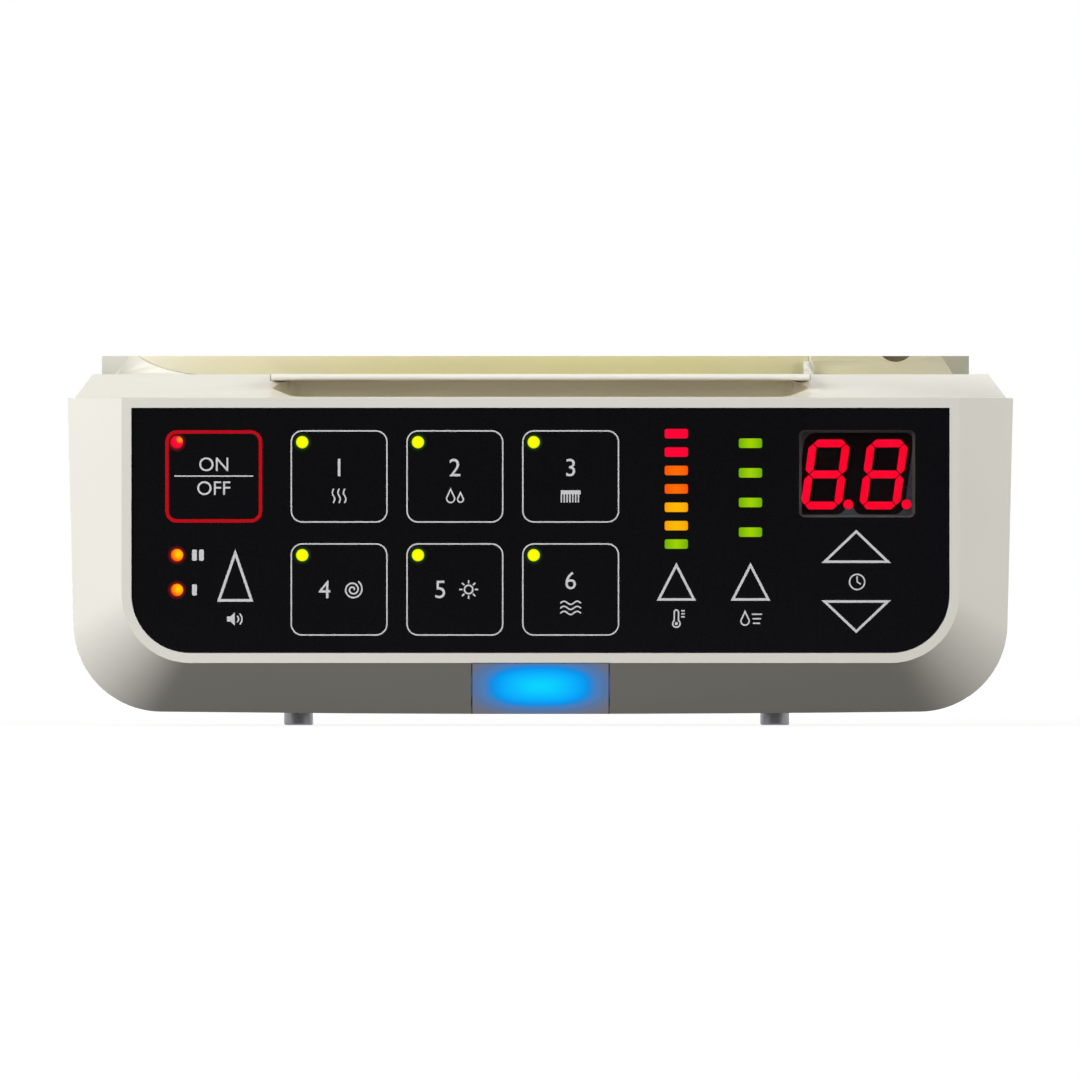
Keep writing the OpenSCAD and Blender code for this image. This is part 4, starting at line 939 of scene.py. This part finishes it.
def makeLensSeal():
    low, high = boxMm("lamp_lens")
    wide = lamp["sealWidth"]
    strips = []
    for side in (-1, 1):
        strip = cadNodes["lamp_lens"].data.copy()
        strip.transform(Matrix.Translation((side * (high.x + wide / 2) * mm, lamp["sealBack"] * mm, 0))
                        @ Matrix.Diagonal((wide / (high.x - low.x), 1, 1, 1)))
        strips.append(strip)
    plate("lensSeal", strips, "unit", lensFoam())


makeLensSeal()
print("lens sealed")


# shells: welded copies of the solids with softened edges

shells = {"bezelEdge": 0.18, "housingEdge": 0.25, "lidEdge": 0.08, "coverEdge": 0.5,
          "weld": 0.001, "flatWithin": 0.3, "sharpFrom": 25, "creaseFrom": 32,  # the last three in degrees
          "chamferDepth": 12,  # from the bezel's front to the end of its chamfer
          "deckBelow": 5.4,  # foot of the deck below the lid's top
          "scoopEdge": 2.5, "scoopTaper": 4.7, "scoopBack": 12, "scoopBelow": 11,  # the last two from the lid
          # the seat and scoop tints are painted shade and warm bounce light on the housing
          "seatEnd": 94, "seatPaintedShade": [(0.0, "C8C2A2"), (0.5, "C0BA9E"), (1.0, "BAB6A4")],
          "scoopPaintedShade": [(0.0, "E6E0CE"), (1.0, "E6E0CE")]}


def bendAngle(edge):
    return math.degrees(edge.calc_face_angle(0)) if len(edge.link_faces) == 2 else 0


def middleOf(edge):
    return (edge.verts[0].co + edge.verts[1].co) / 2 / mm


def softShell(node, name, body, material, width, choose, fillCrease=None):
    build = bmesh.new()
    build.from_mesh(cadNodes[node].data)
    bmesh.ops.remove_doubles(build, verts=build.verts, dist=shells["weld"] * mm)
    bmesh.ops.dissolve_limit(build, angle_limit=math.radians(shells["flatWithin"]),
                             verts=build.verts, edges=build.edges)
    if fillCrease:
        creases = [e for e in build.edges if bendAngle(e) > shells["sharpFrom"] and fillCrease(middleOf(e))]
        bmesh.ops.bevel(build, geom=creases, offset=shells["scoopEdge"] * mm, offset_type="OFFSET",
                        segments=5, profile=0.5, affect="EDGES", clamp_overlap=False)
    weights = build.edges.layers.float.new("bevel_weight_edge")
    chosen = [e for e in build.edges
              if bendAngle(e) > shells["sharpFrom"] and e.is_convex and choose(middleOf(e))]
    for edge in chosen:
        edge[weights] = 1
    holder = link(name, meshFrom(build, name))
    bevel = holder.modifiers.new("softEdges", "BEVEL")
    bevel.limit_method = "WEIGHT"
    bevel.width = width * mm
    bevel.segments = 2
    bevel.use_clamp_overlap = True
    bevel.miter_outer = "MITER_ARC"
    mesh = evaluatedMesh(holder)
    mesh.shade_smooth()
    mesh.set_sharp_from_angle(angle=math.radians(shells["creaseFrom"]))
    # the flat faces keep their own normals, and only the softened edges turn between them
    holder = link(name, mesh)
    flat = holder.modifiers.new("flatFaces", "WEIGHTED_NORMAL")
    flat.keep_sharp = True
    flat.weight = 100
    mesh = evaluatedMesh(holder)
    finishPiece(link(name, mesh), body, material, [node])
    print("  ", name, len(chosen), "edges softened,", len(mesh.polygons), "faces")


def onScoopCrease(place):
    low, high = boxMm("service_lid")
    inScoop = place.y < low.y + shells["scoopBack"] and high.z - shells["scoopBelow"] < place.z < high.z
    return inScoop and abs(abs(place.x) - (high.x - low.x) / 2 + shells["scoopTaper"]) < 0.1


def makeShells():
    white = satinAbs("satinWhiteAbs", "F2F0EA", "EEECE4")
    lidWhite = satinAbs("satinLidAbs", "EFEDE6", "EBE8E0", roughness=0.36)
    housingWhite = satinAbs("satinHousingAbsPaintedShade", "EDEADF", "E9E6DB", roughness=0.58, sheen=0.15)
    lidLow, lidHigh = boxMm("service_lid")
    seatFront = boxMm("seat_liner")[0].y
    # a limit is its axis, where the painted shade starts and where it is full
    # painted shade on the seat's face right of the lid, greyer towards its end
    seat = ([("X", lidHigh.x, lidHigh.x + 0.8), ("Y", seatFront - 0.4, seatFront - 0.1),
             ("Z", lidHigh.z - 0.2, lidHigh.z)], (lidHigh.x, shells["seatEnd"]), shells["seatPaintedShade"])
    # painted shade in the scoop under the lid's lip
    scoop = ([("X", lidLow.x - 0.6, lidLow.x + 0.4), ("X", lidHigh.x + 0.6, lidHigh.x - 0.4),
              ("Y", lidLow.y - 6, lidLow.y - 5), ("Z", lidHigh.z - 0.5, lidHigh.z - 1.5)],
             (-60, 60), shells["scoopPaintedShade"])
    yellowWhere(housingWhite, [seat, scoop])
    low, high = boxMm("front_bezel")
    chamferEnd = low.y + shells["chamferDepth"]
    softShell("front_bezel", "frontBezel", "unit", white, shells["bezelEdge"],
              lambda p: p.y < low.y + 0.3 or abs(p.y - chamferEnd) < 0.2 or abs(p.y - high.y) < 0.02)
    softShell("main_housing", "mainHousing", "unit", housingWhite, shells["housingEdge"],
              lambda p: p.z > lidHigh.z - shells["deckBelow"], onScoopCrease)
    softShell("service_lid", "serviceLid", "lid", lidWhite, shells["lidEdge"], lambda p: True)
    back = boxMm("rear_cover")[1].y
    softShell("rear_cover", "rearCover", "unit", white, shells["coverEdge"],
              lambda p: abs(p.y - back) < 0.02)


makeShells()
print("shells made")


# the other nodes keep their solids and get their finish by slot

# painted shade along the seat liner, from its left end to its right end
liner = {"paintedShade": [(0.0, "E6E2CE"), (0.1, "DCD6B8"), (0.35, "D4CC9E"), (0.8, "D0CA94"), (1.0, "CAC49C")]}


# Natural ABS with painted shade and warm bounce light: pale at its left end and honey coloured along the
# middle
def yellowedAbs():
    low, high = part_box("seat_liner")
    material, tree, shader, where = startMaterial("naturalAbsPaintedShade", "D2C994", Roughness=0.45, IOR=1.53)
    parts = addNode(tree, "SeparateXYZ", {"Vector": where}).outputs
    along = addNode(tree, "MapRange", {"Value": parts["X"], "From Min": low.x, "From Max": high.x})
    paintedShadeTone = addNode(tree, "ValToRGB", {"Fac": along}, stops=liner["paintedShade"])
    # the liner is painted darker towards its foot
    up = addNode(tree, "MapRange",
                 {"Value": parts["Z"], "From Min": low.z, "From Max": high.z, "To Min": 0.85, "To Max": 1.05})
    drawnOut = addNode(tree, "Mapping", {"Vector": where, "Scale": (0.25, 1, 1)})
    cloud = addNode(tree, "TexNoise", grainOf(drawnOut, 6, 2.0))
    mottle = addNode(tree, "MapRange", {"Value": cloud, "To Min": 0.95, "To Max": 1.05})
    shade = addNode(tree, "Math", {0: up, 1: mottle}, operation="MULTIPLY")
    feed(shader, {"Base Color": addNode(tree, "VectorMath", {0: paintedShadeTone, "Scale": shade}, operation="SCALE")})
    return material


def slotMaterials():
    return {
        "grey_carrier": plainMoulding("greyMouldedAbs", "DAD8D2", "D2D0CA"),
        "key_moulding": plainMoulding("blackMouldedKey", "1E1E21", "26262A"),
        "black_moulding": plainMoulding("glassFilledNylon", "18181A", "222225"),
        "circuit_board": plainMoulding("greenSolderMask", "1A5C3A", "216B45", 2.0, 0.35),
        "display_body": plainMoulding("epoxyDisplayBody", "0A0809", "0E0B0C", 1.5, 0.6),
        "blue_light": plainMoulding("clearLitEpoxy", "CFE8FF", "DCEEFF", 1.0, 0.2),
        "natural_nylon": plainMoulding("naturalNylon", "EFEBDF", "E5E0D0"),
        "zinc_steel": turnedMetal("zincPlatedSteel", "C2C4C8", 0.35),
        "bright_steel": turnedMetal("drawnWireSteel", "C8CACE", 0.25),
        "polished_steel": turnedMetal("polishedStudSteel", "94949A", 0.16),
        "brass": turnedMetal("turnedBrass", "C8A55A", 0.3),
        "white_reflector": plainMoulding("whiteReflectorAbs", "F2F2EE", "ECECE8"),
        "black_foam": plainMoulding("closedCellFoam", "202020", "2A2A2A", 0.6, 0.85),
        # the grommet is coloured with painted shade: the dark olive-brown of the hole it sits in
        "olive_rubber": plainMoulding("oliveRubberPaintedShade", "5F553B", "4E452E", 0.8, 0.6),
        "black_rubber": plainMoulding("mouldedRubber", "1B1B1C", "232324", 0.6, 0.62),
        "warm_liner": yellowedAbs(),
        "lamp_lens": frostedLens(),
        "white_housing": satinAbs("satinInnerAbs", "F2F0EA", "EEECE4"),
    }


def dressNodes():
    finishes = slotMaterials()
    for part in frame["record"]["subparts"]:
        node = cadNodes[part["node"]]
        if node.hide_render:
            continue
        finish = finishes[part["material_slot"]]
        if not node.material_slots:
            node.data.materials.append(finish)
        for slot in node.material_slots:
            slot.material = finish


dressNodes()
print("solids dressed")


# studio; its lengths are in metres

studio = {"floorSize": 26.0, "floorDrop": 0.0001, "floorWhite": 0.88, "whiteFrom": (0.3, 1.2),
          "floorTone": "2E2A21", "darkFloor": (-0.12, 0.06), "darkFloorTone": 0.06, "shadowTone": 0.15,
          "worldTone": 0.09, "worldDark": 0.0, "darkCone": (-0.88, -0.45), "lampAim": (0, 0, 0.04)}
# degrees to the right of the front and above the floor, distance, size, power and colour
studioLamps = {
    "leftSoftbox": ((-59, 23.5), 1.4, (0.8, 0.8), 19.6, "FFFEFC"),
    "rightSoftbox": ((62.5, 21.5), 1.8, (1.0, 1.0), 22, "FFFEFA"),
    "topSoftbox": ((0, 80), 1.6, (1.4, 0.9), 0.5, "FFFFFF"),
    "backSoftbox": ((170, 12), 1.8, (1.2, 1.0), 14, "FFFFFF"),
}


def clearedTree(owner):
    owner.use_nodes = True
    owner.node_tree.nodes.clear()
    return owner.node_tree


# Rays from the camera, and rays that a mirror or a clear piece passes on
def raysOf(tree):
    rays = addNode(tree, "LightPath").outputs
    return rays["Is Camera Ray"], addNode(
        tree, "Math", {0: rays["Is Glossy Ray"], 1: rays["Is Transmission Ray"]}, operation="MAXIMUM")


def makeWorld():
    scene.world = bpy.data.worlds.new("studioWorld")
    tree = clearedTree(scene.world)
    cameraRay, mirrorRay = raysOf(tree)
    # for mirrors the room is white all round but for the dark side that the panel faces
    where = addNode(tree, "TexCoord").outputs["Generated"]
    depth = addNode(tree, "SeparateXYZ", {"Vector": where}).outputs["Y"]
    near, far = studio["darkCone"]
    towardsFront = addNode(tree, "MapRange", {"Value": depth, "From Min": near, "From Max": far,
                                                        "To Min": studio["worldDark"], "To Max": 1.0})
    mirrored, ambient, direct = (
        addNode(tree, "Background", {"Color": linear("FFFFFF"), "Strength": strength})
        for strength in (towardsFront, studio["worldTone"], 1.0))
    indirect = addNode(tree, "MixShader", {0: mirrorRay, 1: ambient, 2: mirrored})
    seen = addNode(tree, "MixShader", {0: cameraRay, 1: indirect, 2: direct})
    addNode(tree, "OutputWorld", {"Surface": seen})


def makeFloor():
    half = studio["floorSize"] / 2
    mesh = bpy.data.meshes.new("studioFloor")
    corners = [(-half, -half, 0), (half, -half, 0), (half, half, 0), (-half, half, 0)]
    mesh.from_pydata(corners, [], [(0, 1, 2, 3)])
    floor = link("studioFloor", mesh)
    floor.location.z = cadBox[0][2] - studio["floorDrop"]
    paper = bpy.data.materials.new("whitePaperFloor")
    tree = clearedTree(paper)
    cameraRay, mirrorRay = raysOf(tree)
    where = addNode(tree, "TexCoord").outputs["Object"]
    # the paper burns out to white away from the object
    away = addNode(tree, "VectorMath", {0: where}, operation="LENGTH").outputs["Value"]
    near, far = studio["whiteFrom"]
    burnOut = addNode(tree, "MapRange", {"Value": away, "From Min": near, "From Max": far,
                                                   "To Min": studio["floorWhite"], "To Max": 1.0})
    # in mirrors it darkens towards the dark side of the room, in front of the panel
    depth = addNode(tree, "SeparateXYZ", {"Vector": where}).outputs["Y"]
    near, far = studio["darkFloor"]
    inFront = addNode(tree, "MapRange", {"Value": depth, "From Min": near, "From Max": far,
                                                   "To Min": 1 - studio["darkFloorTone"], "To Max": 0.0})
    dimmed = addNode(tree, "Math", {0: inFront, 1: mirrorRay}, operation="MULTIPLY")
    kept = addNode(tree, "Math", {0: 1.0, 1: dimmed}, operation="SUBTRACT")
    tone = addNode(tree, "Math", {0: burnOut, 1: kept}, operation="MULTIPLY")
    shadowed = addNode(tree, "BsdfDiffuse", {"Color": [studio["shadowTone"]] * 3 + [1]})
    white = addNode(tree, "Emission", {"Strength": tone})
    seenFloor = addNode(tree, "AddShader", {0: shadowed, 1: white})
    grey = addNode(tree, "BsdfDiffuse", {"Color": linear(studio["floorTone"])})
    either = addNode(tree, "Math", {0: cameraRay, 1: mirrorRay}, operation="MAXIMUM")
    both = addNode(tree, "MixShader", {0: either, 1: grey, 2: seenFloor})
    addNode(tree, "OutputMaterial", {"Surface": both})
    floor.data.materials.append(paper)


def makeLamps():
    aim = Vector(studio["lampAim"])
    for name, (direction, distance, size, power, colour) in studioLamps.items():
        data = bpy.data.lights.new(name, "AREA")
        data.shape = "RECTANGLE"
        data.size, data.size_y = size
        data.energy = power
        data.color = linear(colour)[:3]
        holder = link(name, data)
        right, up = (math.radians(angle) for angle in direction)
        holder.location = aim + distance * Vector(
            (math.sin(right) * math.cos(up), -math.cos(right) * math.cos(up), math.sin(up)))
        holder.rotation_euler = (aim - holder.location).to_track_quat("-Z", "Y").to_euler()


makeWorld()
makeFloor()
makeLamps()
scene.view_settings.view_transform = "Standard"
print("studio lit")
